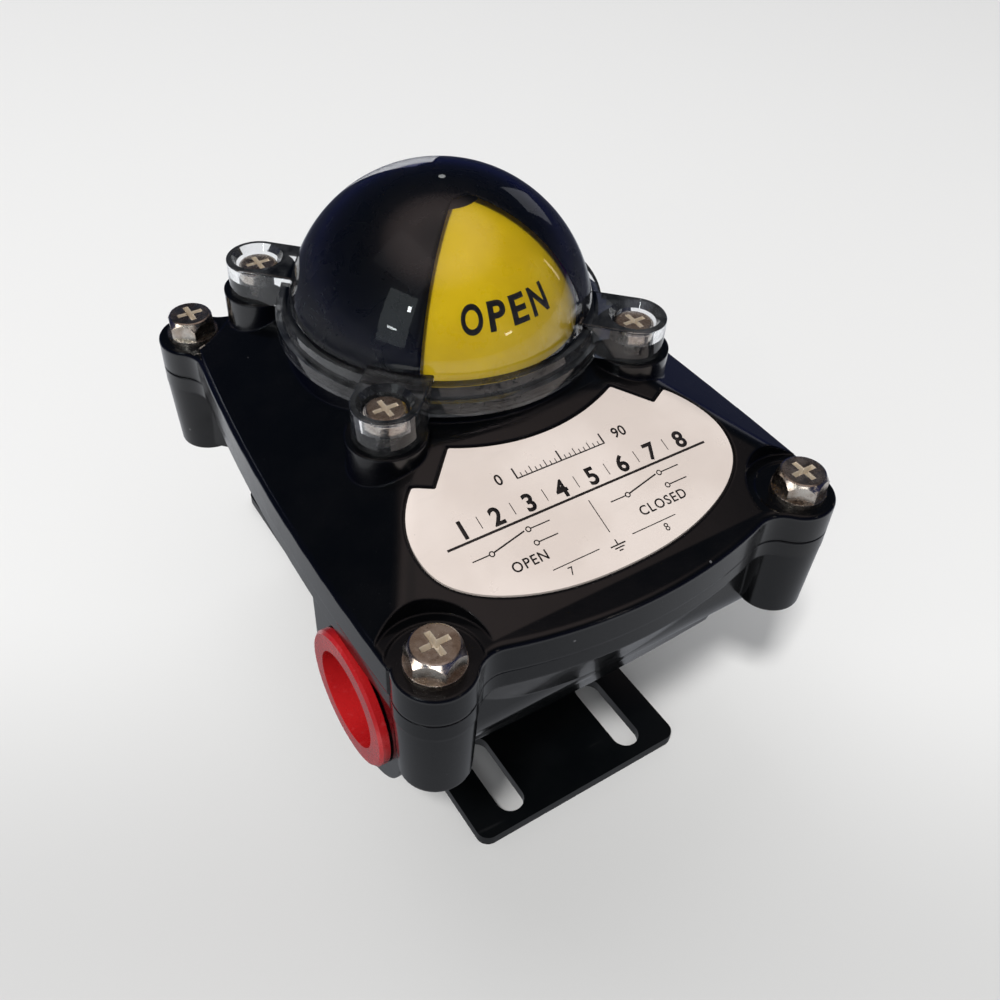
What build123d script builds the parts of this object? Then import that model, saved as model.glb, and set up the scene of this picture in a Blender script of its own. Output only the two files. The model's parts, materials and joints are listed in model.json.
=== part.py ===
from build123d import *
import os, math
os.makedirs("parts", exist_ok=True)

# ---------------------------------------------------------------------------
# Valve limit switch box, NAMUR (VDI/VDE 3845) rotary type, rest pose = OPEN
# mm, +Z up along the shaft, -Y = label end, origin = shaft shoulder (top of
# the actuator pinion it rests on)
# ---------------------------------------------------------------------------

# mounting bracket
PINION_H = 20.0            # pinion height above the actuator top
FOOT_Z = -PINION_H         # underside of the feet
PLATE_T = 2.5
BRACKET_W = 49.6
FOOT_TIP = 59.2            # foot tip from the shaft axis
SLOT_X = 15.0              # 30 mm slot spacing
SLOT_W = 6.0
SLOT_Y0, SLOT_Y1 = 40.0, 53.5   # slot end centres from the shaft axis
LEG_Y = 31.0               # outer face of the legs

# housing
BODY_BOT = 14.0
FLOOR_TOP = 18.0
PART_Z = 44.6              # top of the housing (parting line)
GAP = 0.3                  # air gap at the parting line
BOLT_X = 37.1
BOLT_YF, BOLT_YB = -61.3, 36.2
EAR_R = 6.9
POST_BOT = 25.6
ENTRY_Y, ENTRY_Z = -45.0, 28.3
ENTRY_R = 10.48            # G 1/2 thread wall
PLUGGED_R = 11.5           # the entry that holds the plug
PAD_X = 43.0

# cover
COVER_BOT = PART_Z + GAP
RIM_Z = 51.3               # top of the rim
PAD_Z = 51.0               # ear pads under the washers
TOP_Z = 62.0               # flat top around the dome
SEAT_Z = 64.4              # dome seat
EAR_A = 25.4               # dome ear offset from the axis in X and Y
BOSS_R = 7.0
VALLEY_R = 5.5             # hollow between a bolt ear and the bulged side

# dome
DOME_R = 28.5
DOME_T = 1.8
FLANGE_R1, FLANGE_R2 = 30.6, 29.6
FLANGE_H1, FLANGE_H2 = 2.8, 5.6
DEAR_R = 5.8
DEAR_TOP = 71.0
MASK_RO, MASK_RI = 26.6, 26.0
ROT_RO, ROT_RI = 25.3, 23.7
WIN_BAND = 3.11            # half width of the black bands on the diagonals between the windows
ROT_Z0 = 68.3              # lower edge of the coloured sectors

# shaft and cams
SHAFT_R = 6.0
CAM_Z = (26.6, 35.6)       # centre heights of the two cams
CAM_T = 4.0
CAM_R0, CAM_R1 = 6.6, 8.6  # low and high radius
ROLLER_R = 2.4

# micro switches
SW_L, SW_D, SW_T = 20.0, 10.6, 6.4
SW_Y = 13.6                # plunger face
SW_Z = (23.4, 32.4)        # lower faces

BOLTS = [(-BOLT_X, BOLT_YF), (BOLT_X, BOLT_YF), (-BOLT_X, BOLT_YB), (BOLT_X, BOLT_YB)]
EARS = [(-EAR_A, -EAR_A), (EAR_A, -EAR_A), (-EAR_A, EAR_A), (EAR_A, EAR_A)]


def save(bp, name):
    bp.part.label = name
    export_step(bp.part, "parts/" + name + ".step")


def lerp(a, b, t):
    return a + (b - a) * t


def body_line(t, d=0.0):
    """closed outline of the box at level t (0 = parting line, 1 = bottom), moved in by d"""
    xs = lerp(43.4, 33.8, t) - d          # side at the front corner
    ys = lerp(-56.5, -50.5, t) + d * 0.5
    xf = lerp(36.0, 29.5, t) - d * 0.5
    yf = lerp(-60.6, -55.2, t) + d
    ym = lerp(-67.6, -55.9, t) + d        # front, middle
    xm = lerp(43.9, 34.1, t) - d          # side, middle
    xb = lerp(38.9, 33.0, t) - d          # side at the back corner
    yb = lerp(31.0, 26.0, t) - d * 0.5
    xc = lerp(33.5, 28.5, t) - d * 0.5
    yc = lerp(36.2, 31.2, t) - d
    yn = lerp(42.6, 31.8, t) - d          # back, middle
    ThreePointArc((-xf, yf), (0, ym), (xf, yf))
    Line((xf, yf), (xs, ys))
    ThreePointArc((xs, ys), (xm, -25), (xb, yb))
    Line((xb, yb), (xc, yc))
    ThreePointArc((xc, yc), (0, yn), (-xc, yc))
    Line((-xc, yc), (-xb, yb))
    ThreePointArc((-xb, yb), (-xm, -25), (-xs, ys))
    Line((-xs, ys), (-xf, yf))


def lid_face(d=0.0):
    """plan of the cover: bulged box with four bolt ears and soft valleys beside them"""
    ThreePointArc((-36.0, -60.65), (0, -68.1 + d), (36.0, -60.65))
    Line((36.0, -60.65), (43.8 - d, -58.5))
    ThreePointArc((43.8 - d, -58.5), (44.1 - d, -27), (39.0 - d, 32.0))
    Line((39.0 - d, 32.0), (35.5, 35.6))
    ThreePointArc((35.5, 35.6), (0, 43.0 - d), (-35.5, 35.6))
    Line((-35.5, 35.6), (-39.0 + d, 32.0))
    ThreePointArc((-39.0 + d, 32.0), (-44.1 + d, -27), (-43.8 + d, -58.5))
    Line((-43.8 + d, -58.5), (-36.0, -60.65))


def valleys(sk, r):
    """concave corners where an ear circle meets the bulged sides"""
    out = []
    for v in sk.vertices():
        for bx, by in BOLTS:
            if abs(math.hypot(v.X - bx, v.Y - by) - r) < 1e-3:
                if (by < 0 and abs(v.X) < 34) or by > 0:
                    out.append(v)
    return out


def label_face(d=0.0):
    """closed outline of the label, grown by d"""
    raw = [(26.2, -35.0), (29.9, -39.6), (31.4, -45.3), (30.3, -50.4), (26.2, -54.6), (20.3, -57.5), (12.0, -59.7), (0, -60.6)]
    pts = []
    for n, (x, y) in enumerate(raw):
        if n == 0:
            pts.append((x + 0.28 * d, y + 1.25 * d))
            continue
        ax, ay = raw[n - 1]
        bx, by = raw[n + 1] if n + 1 < len(raw) else (-12.0, -59.7)
        l = math.hypot(bx - ax, by - ay)
        pts.append((x - d * (by - ay) / l, y + d * (bx - ax) / l))
    back = [(-x, y) for x, y in reversed(pts[:-1])]
    p0 = pts[0]
    p1 = (22.7 + 0.203 * d, -36.7 + 1.21 * d)
    p2 = (16.9 + 0.226 * d, -30.9 + 1.188 * d)
    Spline(*(pts + back))
    Line((-p0[0], p0[1]), (-p1[0], p1[1]))
    Line((-p1[0], p1[1]), (-p2[0], p2[1]))
    ThreePointArc((-p2[0], p2[1]), (0, -34.4 + d), p2)
    Line(p2, p1)
    Line(p1, p0)


# the raised part of the cover: flat top, four slopes, softened hips
HIP_K = 0.55
with BuildPart() as hip_block:
    with BuildSketch(Plane.XZ.offset(-60)):
        with BuildLine():
            xt = 43.5 - (TOP_Z - RIM_Z) / HIP_K
            Polyline((-46, 40), (46, 40), (46, RIM_Z - 2.5 * HIP_K), (xt, TOP_Z), (-xt, TOP_Z), (-46, RIM_Z - 2.5 * HIP_K), close=True)
        make_face()
    extrude(amount=140)
    with BuildSketch(Plane.YZ.offset(-60)):
        with BuildLine():
            y0 = -45 + (TOP_Z - 57.0) / 0.33
            yb = 42.0 - (TOP_Z - RIM_Z) / 0.75
            Polyline((-72, 40), (48, 40), (48, RIM_Z - 6 * 0.75), (yb, TOP_Z), (y0, TOP_Z), (-72, 57.0 - 27 * 0.33), close=True)
        make_face()
    extrude(amount=120, mode=Mode.INTERSECT)
    hips = [e for e in edges() if e.center().Z > 48 and e.length > 5 and abs(abs(e.center().X) - 46) > 0.5 and abs(e.center().Y + 72) > 0.5 and abs(e.center().Y - 48) > 0.5]
    fillet(hips, 7.0)
print("hip", hip_block.part.is_valid, hip_block.part.bounding_box())

# ---------------------------------------------------------------- bracket
with BuildPart() as mounting_bracket:
    with BuildSketch(Plane.YZ.offset(-BRACKET_W / 2)):
        with BuildLine():
            Polyline((-FOOT_TIP, FOOT_Z), (-LEG_Y + PLATE_T - 2.2, FOOT_Z), (-LEG_Y + PLATE_T, BODY_BOT - PLATE_T), (LEG_Y - PLATE_T, BODY_BOT - PLATE_T),
                     (LEG_Y - PLATE_T + 2.2, FOOT_Z), (FOOT_TIP, FOOT_Z), (FOOT_TIP, FOOT_Z + PLATE_T), (LEG_Y + 1.9, FOOT_Z + PLATE_T), (LEG_Y, BODY_BOT),
                     (-LEG_Y, BODY_BOT), (-LEG_Y - 1.9, FOOT_Z + PLATE_T), (-FOOT_TIP, FOOT_Z + PLATE_T), close=True)
        make_face()
    extrude(amount=BRACKET_W)
    outer = [e for e in edges().filter_by(Axis.X) if abs(e.center().Z - BODY_BOT) < 0.01]
    inner = [e for e in edges().filter_by(Axis.X) if abs(e.center().Z - (BODY_BOT - PLATE_T)) < 0.01]
    lo_o = [e for e in edges().filter_by(Axis.X) if abs(e.center().Z - FOOT_Z) < 0.01 and abs(e.center().Y) < 40]
    lo_i = [e for e in edges().filter_by(Axis.X) if abs(e.center().Z - FOOT_Z - PLATE_T) < 0.01 and abs(e.center().Y) < 40]
    fillet(outer + lo_o, 4.2)
    fillet(inner + lo_i, 1.7)
    with BuildSketch(Plane.XY.offset(FOOT_Z)):
        with Locations(*[(sx * SLOT_X, sy * (SLOT_Y0 + SLOT_Y1) / 2) for sx in (-1, 1) for sy in (-1, 1)]):
            SlotCenterToCenter(SLOT_Y1 - SLOT_Y0, SLOT_W, rotation=90)
    extrude(amount=PLATE_T, mode=Mode.SUBTRACT)
    with BuildSketch(Plane.XY.offset(BODY_BOT - PLATE_T)):
        Circle(12.5)
        with Locations(*[(sx * 17, sy * 20) for sx in (-1, 1) for sy in (-1, 1)]):
            Circle(2.75)
    extrude(amount=PLATE_T, mode=Mode.SUBTRACT)
    tips = [e for e in edges().filter_by(Axis.Z) if abs(abs(e.center().Y) - FOOT_TIP) < 0.01 and abs(abs(e.center().X) - BRACKET_W / 2) < 0.01]
    fillet(tips, 2.6)
save(mounting_bracket, "mounting_bracket")

BR_SCREWS = [(sx * 17, sy * 20) for sx in (-1, 1) for sy in (-1, 1)]
with BuildPart() as bracket_spring_washers:
    with BuildSketch(Plane.XY.offset(BODY_BOT - PLATE_T - 1.2)):
        with Locations(*BR_SCREWS):
            Circle(4.4)
            Circle(2.65, mode=Mode.SUBTRACT)
    extrude(amount=1.2)
    with BuildSketch(Plane.XY.offset(BODY_BOT - PLATE_T - 1.2)):
        with Locations(*[(x + 3.6, y) for x, y in BR_SCREWS]):
            Rectangle(2.4, 0.5, rotation=20)
    extrude(amount=1.2, mode=Mode.SUBTRACT)
save(bracket_spring_washers, "bracket_spring_washers")

with BuildPart() as bracket_screws:
    hz = BODY_BOT - PLATE_T - 1.2
    with BuildSketch(Plane.XY.offset(hz - 5.0)):
        with Locations(*BR_SCREWS):
            Circle(4.25)
    extrude(amount=5.0)
    chamfer([e for e in edges() if abs(e.center().Z - (hz - 5.0)) < 0.01], 0.5)
    with BuildSketch(Plane.XY.offset(hz)):
        with Locations(*BR_SCREWS):
            Circle(2.5)
    extrude(amount=12.0)
    with BuildSketch(Plane.XY.offset(hz - 5.0)):
        with Locations(*BR_SCREWS):
            RegularPolygon(2.0, 6, major_radius=False)
    extrude(amount=2.8, mode=Mode.SUBTRACT)
save(bracket_screws, "bracket_screws")

# ---------------------------------------------------------------- housing
with BuildPart() as housing_body:
    with BuildSketch(Plane.XY.offset(PART_Z)):
        with BuildLine():
            body_line(0.0)
        make_face()
    with BuildSketch(Plane.XY.offset(BODY_BOT)):
        with BuildLine():
            body_line(1.0)
        make_face()
    loft()
    # rim that follows the cover
    with BuildSketch(Plane.XY.offset(PART_Z - 3.6)) as rim_sk:
        with BuildLine():
            lid_face(0.3)
        make_face()
        with Locations(*BOLTS):
            Circle(EAR_R)
        fillet(valleys(rim_sk.sketch_local, EAR_R), VALLEY_R)
    extrude(amount=3.6)
    # bolt posts
    for bx, by in BOLTS:
        with BuildSketch(Plane.XY.offset(POST_BOT)):
            with Locations((bx, by)):
                Circle(6.2)
        with BuildSketch(Plane.XY.offset(PART_Z - 2.0)):
            with Locations((bx, by)):
                Circle(EAR_R)
        loft()
    # webs from posts to the walls
    with BuildSketch(Plane.XY.offset(POST_BOT + 0.8)):
        for sx in (-1, 1):
            with BuildLine():
                Polyline((sx * 31.2, -60.6), (sx * 41.6, -56.8), (sx * 33, -45), (sx * 25, -50), close=True)
            make_face()
            with BuildLine():
                Polyline((sx * 32.6, 39.6), (sx * 40.2, 31.8), (sx * 31, 22), (sx * 24, 27), close=True)
            make_face()
    extrude(amount=PART_Z - 2.0 - POST_BOT - 0.8)
    # cable entry pads, both sides
    with BuildSketch(Plane.YZ.offset(-PAD_X)):
        with Locations((ENTRY_Y, ENTRY_Z)):
            Circle(15.4)
        with Locations((ENTRY_Y, 36.0)):
            Rectangle(30.8, 15.4)
    extrude(amount=2 * PAD_X)
    with BuildSketch(Plane.XY.offset(-5)):
        with Locations((0, -45)):
            Rectangle(120, 60)
    extrude(amount=5 + BODY_BOT, mode=Mode.SUBTRACT)
    # cavity
    with BuildSketch(Plane.XY.offset(PART_Z)):
        with BuildLine():
            body_line(0.0, 5.2)
        make_face()
    with BuildSketch(Plane.XY.offset(FLOOR_TOP)):
        with BuildLine():
            body_line(0.88, 3.4)
        make_face()
    loft(mode=Mode.SUBTRACT)
    # entry bosses inside
    with BuildSketch(Plane.YZ.offset(-38)):
        with Locations((ENTRY_Y, ENTRY_Z)):
            Circle(13.2)
    extrude(amount=7.5)
    with BuildSketch(Plane.YZ.offset(30.5)):
        with Locations((ENTRY_Y, ENTRY_Z)):
            Circle(13.2)
    extrude(amount=7.5)
    with BuildSketch(Plane.YZ.offset(29)):
        with Locations((ENTRY_Y, ENTRY_Z)):
            Circle(ENTRY_R)
    extrude(amount=31, mode=Mode.SUBTRACT)
    with BuildSketch(Plane.YZ.offset(-60)):
        with Locations((ENTRY_Y, ENTRY_Z)):
            Circle(PLUGGED_R)
    extrude(amount=31, mode=Mode.SUBTRACT)
    # bearing neck through the floor, terminal and switch bosses, bracket screw bosses
    with BuildSketch(Plane.XY.offset(10.0)):
        Circle(11.6)
    extrude(amount=11.0)
    with BuildSketch(Plane.XY.offset(FLOOR_TOP - 1)):
        with Locations(*BR_SCREWS):
            Circle(4.6)
    extrude(amount=6.5)
    with BuildSketch(Plane.XY.offset(FLOOR_TOP - 1)):
        with Locations((-23, -35), (23, -35)):
            Circle(3.6)
    extrude(amount=3.0)
    with BuildSketch(Plane.XY.offset(FLOOR_TOP - 1)):
        with Locations((-8.5, 19.5), (8.5, 19.5)):
            Circle(3.2)
    extrude(amount=5.0 - 0.6)
    # bores
    with BuildSketch(Plane.XY.offset(5.0)):
        Circle(8.0)
    extrude(amount=20.0, mode=Mode.SUBTRACT)
    with BuildSketch(Plane.XY.offset(28.0)):
        with Locations(*BOLTS):
            Circle(2.6)
    extrude(amount=30.0, mode=Mode.SUBTRACT)
    with BuildSketch(Plane.XY.offset(BODY_BOT - 1)):
        with Locations(*BR_SCREWS):
            Circle(2.5)
    extrude(amount=10.0, mode=Mode.SUBTRACT)
    with BuildSketch(Plane.XY.offset(BODY_BOT + 1.4)):
        with Locations((-23, -35), (23, -35)):
            Circle(1.5)
        with Locations((-8.5, 19.5), (8.5, 19.5)):
            Circle(1.5)
    extrude(amount=12.0, mode=Mode.SUBTRACT)
    # gasket groove
    with BuildSketch(Plane.XY.offset(PART_Z - 1.9)):
        with BuildLine():
            body_line(0.0, 2.2)
        make_face()
        with BuildLine():
            body_line(0.0, 3.9)
        make_face(mode=Mode.SUBTRACT)
    extrude(amount=1.9, mode=Mode.SUBTRACT)
save(housing_body, "housing_body")
print("housing", housing_body.part.is_valid, len(housing_body.part.solids()), housing_body.part.volume)

with BuildPart() as cover_gasket:
    with BuildSketch(Plane.XY.offset(PART_Z - 1.9)):
        with BuildLine():
            body_line(0.0, 2.3)
        make_face()
        with BuildLine():
            body_line(0.0, 3.8)
        make_face(mode=Mode.SUBTRACT)
    extrude(amount=1.9)
save(cover_gasket, "cover_gasket")

with BuildPart() as shaft_seal:
    with BuildSketch(Plane.XY.offset(10.4)):
        Circle(8.0)
        Circle(SHAFT_R + 0.05, mode=Mode.SUBTRACT)
    extrude(amount=2.6)
save(shaft_seal, "shaft_seal")

with BuildPart() as shaft_bush:
    with BuildSketch(Plane.XY.offset(13.0)):
        Circle(8.0)
    extrude(amount=8.0)
    with BuildSketch(Plane.XY.offset(21.0)):
        Circle(9.4)
    extrude(amount=1.2)
    with BuildSketch(Plane.XY.offset(10)):
        Circle(SHAFT_R + 0.05)
    extrude(amount=20, mode=Mode.SUBTRACT)
save(shaft_bush, "shaft_bush")

# ---------------------------------------------------------------- shaft
with BuildPart() as main_shaft:
    with BuildSketch(Plane.XY.offset(-3.8)):
        Rectangle(3.9, 11.0)
        Circle(5.7, mode=Mode.INTERSECT)
    extrude(amount=3.8)
    with BuildSketch(Plane.XY):
        Circle(SHAFT_R)
    extrude(amount=22.6)
    with BuildSketch(Plane.XY.offset(22.6)):
        Circle(8.0)
    extrude(amount=1.4)
    with BuildSketch(Plane.XY.offset(24.0)):
        Circle(5.0)
    extrude(amount=21.5)
    with BuildSketch(Plane.XY.offset(45.5)):
        Rectangle(4.0, 9.0)
    extrude(amount=5.5)
    with BuildSketch(Plane.XY.offset(8.4)):
        Circle(7.0)
        Circle(5.4, mode=Mode.SUBTRACT)
    extrude(amount=1.0, mode=Mode.SUBTRACT)
    with BuildSketch(Plane.XY.offset(40.6)):
        Circle(6.0)
        Circle(4.4, mode=Mode.SUBTRACT)
    extrude(amount=0.9, mode=Mode.SUBTRACT)
save(main_shaft, "main_shaft")

def clip_ring(ri, ro):
    Circle(ro)
    Circle(ri, mode=Mode.SUBTRACT)
    with Locations((ro, 0)):
        Rectangle(ro * 1.1, ri * 0.9, mode=Mode.SUBTRACT)

with BuildPart() as shaft_circlip:
    with BuildSketch(Plane.XY.offset(8.4)):
        clip_ring(5.4, 8.4)
    extrude(amount=1.0)
save(shaft_circlip, "shaft_circlip")

with BuildPart() as cam_clip:
    with BuildSketch(Plane.XY.offset(40.6)):
        clip_ring(4.4, 7.2)
    extrude(amount=0.9)
save(cam_clip, "cam_clip")

# switch lever linkage, in plan
PIV = (8.5, 12.2)
ROLL_X = -6.0
RUN = 0.3                                    # gap between roller and cam
def roll_at(r):
    d = r + ROLLER_R + RUN
    return math.sqrt(d * d - ROLL_X * ROLL_X)
p_on = (ROLL_X, roll_at(CAM_R1))
LEV_L = math.hypot(PIV[0] - p_on[0], PIV[1] - p_on[1])
A_ON = math.degrees(math.atan2(PIV[1] - p_on[1], PIV[0] - p_on[0]))
def roll_pos(a):
    return (PIV[0] - LEV_L * math.cos(math.radians(a)), PIV[1] - LEV_L * math.sin(math.radians(a)))
lo, hi = A_ON, A_ON + 30
for _ in range(60):
    mid = (lo + hi) / 2
    q = roll_pos(mid)
    if math.hypot(*q) > CAM_R0 + ROLLER_R + RUN:
        lo = mid
    else:
        hi = mid
A_OFF = lo
SWING = A_OFF - A_ON                         # lever travel for a quarter turn
print("lever swing", SWING, "A_ON", A_ON, "L", LEV_L, "roller on", p_on, "roller off", roll_pos(A_OFF))

def cam_points(kind):
    """pitch points seen from the cam while it turns clockwise by 0 to 90 degrees"""
    act = []
    for i in range(-2, 21):
        th = i * 5.0
        f = min(max(th / 90.0, 0.0), 1.0)
        a = A_ON + SWING * f if kind == 0 else A_OFF - SWING * f
        q = roll_pos(a)
        ang = math.degrees(math.atan2(q[1], q[0])) + th
        act.append((ang, math.hypot(*q) - ROLLER_R - RUN))
    a0, r0 = act[0]
    a1, r1 = act[-1]
    rest = a0 + 360 - a1
    n = 14
    for i in range(1, n):
        f = i / n
        act.append((a1 + rest * f, r1 + (r0 - r1) * 0.5 * (1 - math.cos(math.pi * f))))
    return [(r * math.cos(math.radians(a)), r * math.sin(math.radians(a))) for a, r in act]

with BuildPart() as cam_lower:
    with BuildSketch(Plane.XY.offset(CAM_Z[0] - CAM_T / 2)):
        with BuildLine():
            Spline(*cam_points(0), periodic=True)
        make_face()
        Circle(5.0, mode=Mode.SUBTRACT)
    extrude(amount=CAM_T)
save(cam_lower, "cam_lower")

with BuildPart() as cam_upper:
    with BuildSketch(Plane.XY.offset(CAM_Z[1] - CAM_T / 2)):
        with BuildLine():
            Spline(*cam_points(1), periodic=True)
        make_face()
        Circle(5.0, mode=Mode.SUBTRACT)
    extrude(amount=CAM_T)
save(cam_upper, "cam_upper")

with BuildPart() as cam_spacer:
    with BuildSketch(Plane.XY.offset(CAM_Z[0] + CAM_T / 2)):
        Circle(6.2)
        Circle(5.0, mode=Mode.SUBTRACT)
    extrude(amount=CAM_Z[1] - CAM_Z[0] - CAM_T)
save(cam_spacer, "cam_spacer")

with BuildPart() as cam_spring:
    with BuildLine():
        Helix(pitch=1.5, height=2.3, radius=5.9, center=(0, 0, CAM_Z[1] + CAM_T / 2 + 0.35))
    with BuildSketch(Plane(origin=(5.9, 0, CAM_Z[1] + CAM_T / 2 + 0.35), z_dir=(0, 1, 0.04))):
        Circle(0.35)
    sweep(is_frenet=True)
save(cam_spring, "cam_spring")

# ---------------------------------------------------------------- micro switches
with BuildPart() as switch_carrier:
    with BuildSketch(Plane.XY.offset(21.4)):
        with Locations((0, 18.9)):
            RectangleRounded(24, 10.6, 1.5)
        with Locations((-8.5, 19.5), (8.5, 19.5)):
            Circle(1.6, mode=Mode.SUBTRACT)
        with Locations((-4.75, 18.9), (4.75, 18.9)):
            Circle(1.15, mode=Mode.SUBTRACT)
    extrude(amount=2.0)
save(switch_carrier, "switch_carrier")

with BuildPart() as switch_carrier_screws:
    with BuildSketch(Plane.XY.offset(15.6)):
        with Locations((-8.5, 19.5), (8.5, 19.5)):
            Circle(1.5)
    extrude(amount=7.8)
save(switch_carrier_screws, "switch_carrier_screws")

for k, nm in enumerate(("lower", "upper")):
    z0 = SW_Z[k]
    zm = z0 + SW_T / 2
    alpha = A_ON if k == 0 else A_OFF
    with BuildPart() as case:
        with BuildSketch(Plane.XY.offset(z0)):
            with Locations((0, SW_Y + SW_D / 2)):
                RectangleRounded(SW_L, SW_D, 0.6)
            with BuildLine():
                Polyline((PIV[0] - 1.2, SW_Y + 0.5), (PIV[0] - 1.2, PIV[1] - 1.0), (PIV[0] + 1.2, PIV[1] - 1.0), (PIV[0] + 1.2, SW_Y + 0.5), close=True)
            make_face()
            with Locations((-4.75, 18.9), (4.75, 18.9)):
                Circle(1.15, mode=Mode.SUBTRACT)
        extrude(amount=SW_T)
        with BuildSketch(Plane.XY.offset(zm - 2.6)):
            with BuildLine():
                Polyline((PIV[0] - 2.2, SW_Y), (PIV[0] - 2.2, PIV[1] - 2.5), (PIV[0] + 2.5, PIV[1] - 2.5), (PIV[0] + 2.5, SW_Y), close=True)
            make_face()
        extrude(amount=5.2, mode=Mode.SUBTRACT)
        with BuildSketch(Plane.XZ.offset(-SW_Y)):
            with Locations((2.5, zm)):
                Circle(1.4)
        extrude(amount=-3.4, mode=Mode.SUBTRACT)
        with BuildSketch(Plane.XY.offset(z0 - 1)):
            with Locations(PIV):
                Circle(0.5)
        extrude(amount=SW_T + 2, mode=Mode.SUBTRACT)
    save(case, "switch_case_" + nm)

    with BuildPart() as tabs:
        with BuildSketch(Plane.XZ.offset(-(SW_Y + SW_D))):
            with Locations((-7.2, zm), (0, zm), (7.2, zm)):
                Rectangle(0.5, 2.6)
        extrude(amount=-2.0)
    save(tabs, "switch_tabs_" + nm)

    with BuildPart() as pin:
        with BuildSketch(Plane.XY.offset(z0)):
            with Locations(PIV):
                Circle(0.5)
        extrude(amount=SW_T)
    save(pin, "lever_pin_" + nm)

    ca, sa = math.cos(math.radians(alpha)), math.sin(math.radians(alpha))
    def on_arm(u, v):
        """point u along the arm from the pivot, v to the cam side"""
        return (PIV[0] - u * ca + v * sa, PIV[1] - u * sa - v * ca)
    with BuildPart() as lever:
        with BuildSketch(Plane.XY.offset(zm - 2.2)):
            with Locations(PIV):
                Circle(0.95)
            with BuildLine():
                Polyline(on_arm(0, 0.3), on_arm(0, -0.3), on_arm(LEV_L - ROLLER_R - 0.7, -0.3), on_arm(LEV_L - ROLLER_R - 0.7, 0.3), close=True)
            make_face()
            with Locations(PIV):
                Circle(0.55, mode=Mode.SUBTRACT)
        extrude(amount=4.4)
        for zz in (zm - 2.2, zm + 1.75):
            with BuildSketch(Plane.XY.offset(zz)):
                with BuildLine():
                    Polyline(on_arm(LEV_L - ROLLER_R - 1.3, 0.3), on_arm(LEV_L - ROLLER_R - 1.3, -0.3), on_arm(LEV_L, -1.2), on_arm(LEV_L + 0.9, 0), on_arm(LEV_L, 1.2), close=True)
                make_face()
            extrude(amount=0.45)
        with BuildSketch(Plane.XY.offset(zm - 3)):
            with Locations(on_arm(LEV_L, 0)):
                Circle(0.6)
        extrude(amount=6, mode=Mode.SUBTRACT)
    save(lever, "lever_" + nm)

    with BuildPart() as rpin:
        with BuildSketch(Plane.XY.offset(zm - 2.4)):
            with Locations(on_arm(LEV_L, 0)):
                Circle(0.6)
        extrude(amount=4.8)
    save(rpin, "roller_pin_" + nm)

    with BuildPart() as roller:
        with BuildSketch(Plane.XY.offset(zm - 1.4)):
            with Locations(on_arm(LEV_L, 0)):
                Circle(ROLLER_R)
                Circle(0.66, mode=Mode.SUBTRACT)
        extrude(amount=2.8)
    save(roller, "roller_" + nm)
    print("roller", nm, on_arm(LEV_L, 0))

    # plunger tip stays 0.3 mm behind the arm
    tip = PIV[1] - math.tan(math.radians(alpha)) * (PIV[0] - 2.5) + 0.3 / ca + 0.35
    with BuildPart() as plunger:
        with BuildSketch(Plane.XZ.offset(-tip)):
            with Locations((2.5, zm)):
                Circle(1.3)
        extrude(amount=-(SW_Y + 2.2 - tip))
        fillet([e for e in edges() if abs(e.center().Y - tip) < 0.01], 0.5)
    save(plunger, "plunger_" + nm)
    print("plunger", nm, "tip", tip)

with BuildPart() as switch_spacers:
    with BuildSketch(Plane.XY.offset(SW_Z[0] + SW_T)):
        with Locations((-4.75, 18.9), (4.75, 18.9)):
            Circle(2.2)
            Circle(1.15, mode=Mode.SUBTRACT)
    extrude(amount=SW_Z[1] - SW_Z[0] - SW_T)
save(switch_spacers, "switch_spacers")

with BuildPart() as switch_screws:
    with BuildSketch(Plane.XY.offset(21.4)):
        with Locations((-4.75, 18.9), (4.75, 18.9)):
            Circle(1.15)
    extrude(amount=SW_Z[1] + SW_T - 21.4)
    with BuildSketch(Plane.XY.offset(SW_Z[1] + SW_T)):
        with Locations((-4.75, 18.9), (4.75, 18.9)):
            Circle(2.2)
    extrude(amount=1.6)
    with BuildSketch(Plane.XY.offset(SW_Z[1] + SW_T + 0.8)):
        with Locations((-4.75, 18.9), (4.75, 18.9)):
            Rectangle(4.6, 0.6)
    extrude(amount=0.8, mode=Mode.SUBTRACT)
save(switch_screws, "switch_screws")

# ---------------------------------------------------------------- terminals and wires
TB_X = [-17.5 + 5 * i for i in range(8)]
with BuildPart() as terminal_block:
    with BuildSketch(Plane.XY.offset(20.0)):
        with Locations((0, -35)):
            RectangleRounded(52.0, 7.2, 1.0)
            Rectangle(40.0, 11.0)
        with Locations((-23, -35), (23, -35)):
            Circle(1.6, mode=Mode.SUBTRACT)
    extrude(amount=4.0)
    with BuildSketch(Plane.XY.offset(24.0)):
        with Locations((0, -35)):
            Rectangle(40.0, 9.6)
    extrude(amount=8.0)
    with BuildSketch(Plane.XY.offset(25.0)):
        for x in [-20 + 5 * i for i in range(9)]:
            with Locations((x, -35)):
                Rectangle(0.7, 12)
    extrude(amount=8.5)
    with BuildSketch(Plane.XY.offset(27.0)):
        with Locations(*[(x, -35) for x in TB_X]):
            Circle(1.75)
    extrude(amount=6.0, mode=Mode.SUBTRACT)
    with BuildSketch(Plane.XZ.offset(20)):
        with Locations(*[(x, 26.5) for x in TB_X]):
            Circle(1.2)
    extrude(amount=30, mode=Mode.SUBTRACT)
save(terminal_block, "terminal_block")

with BuildPart() as terminal_screws:
    with BuildSketch(Plane.XY.offset(27.8)):
        with Locations(*[(x, -35) for x in TB_X]):
            Circle(1.7)
    extrude(amount=2.6)
    with BuildSketch(Plane.XY.offset(29.6)):
        with Locations(*[(x, -35) for x in TB_X]):
            Rectangle(3.6, 0.6, rotation=25)
    extrude(amount=1.0, mode=Mode.SUBTRACT)
save(terminal_screws, "terminal_screws")

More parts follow.
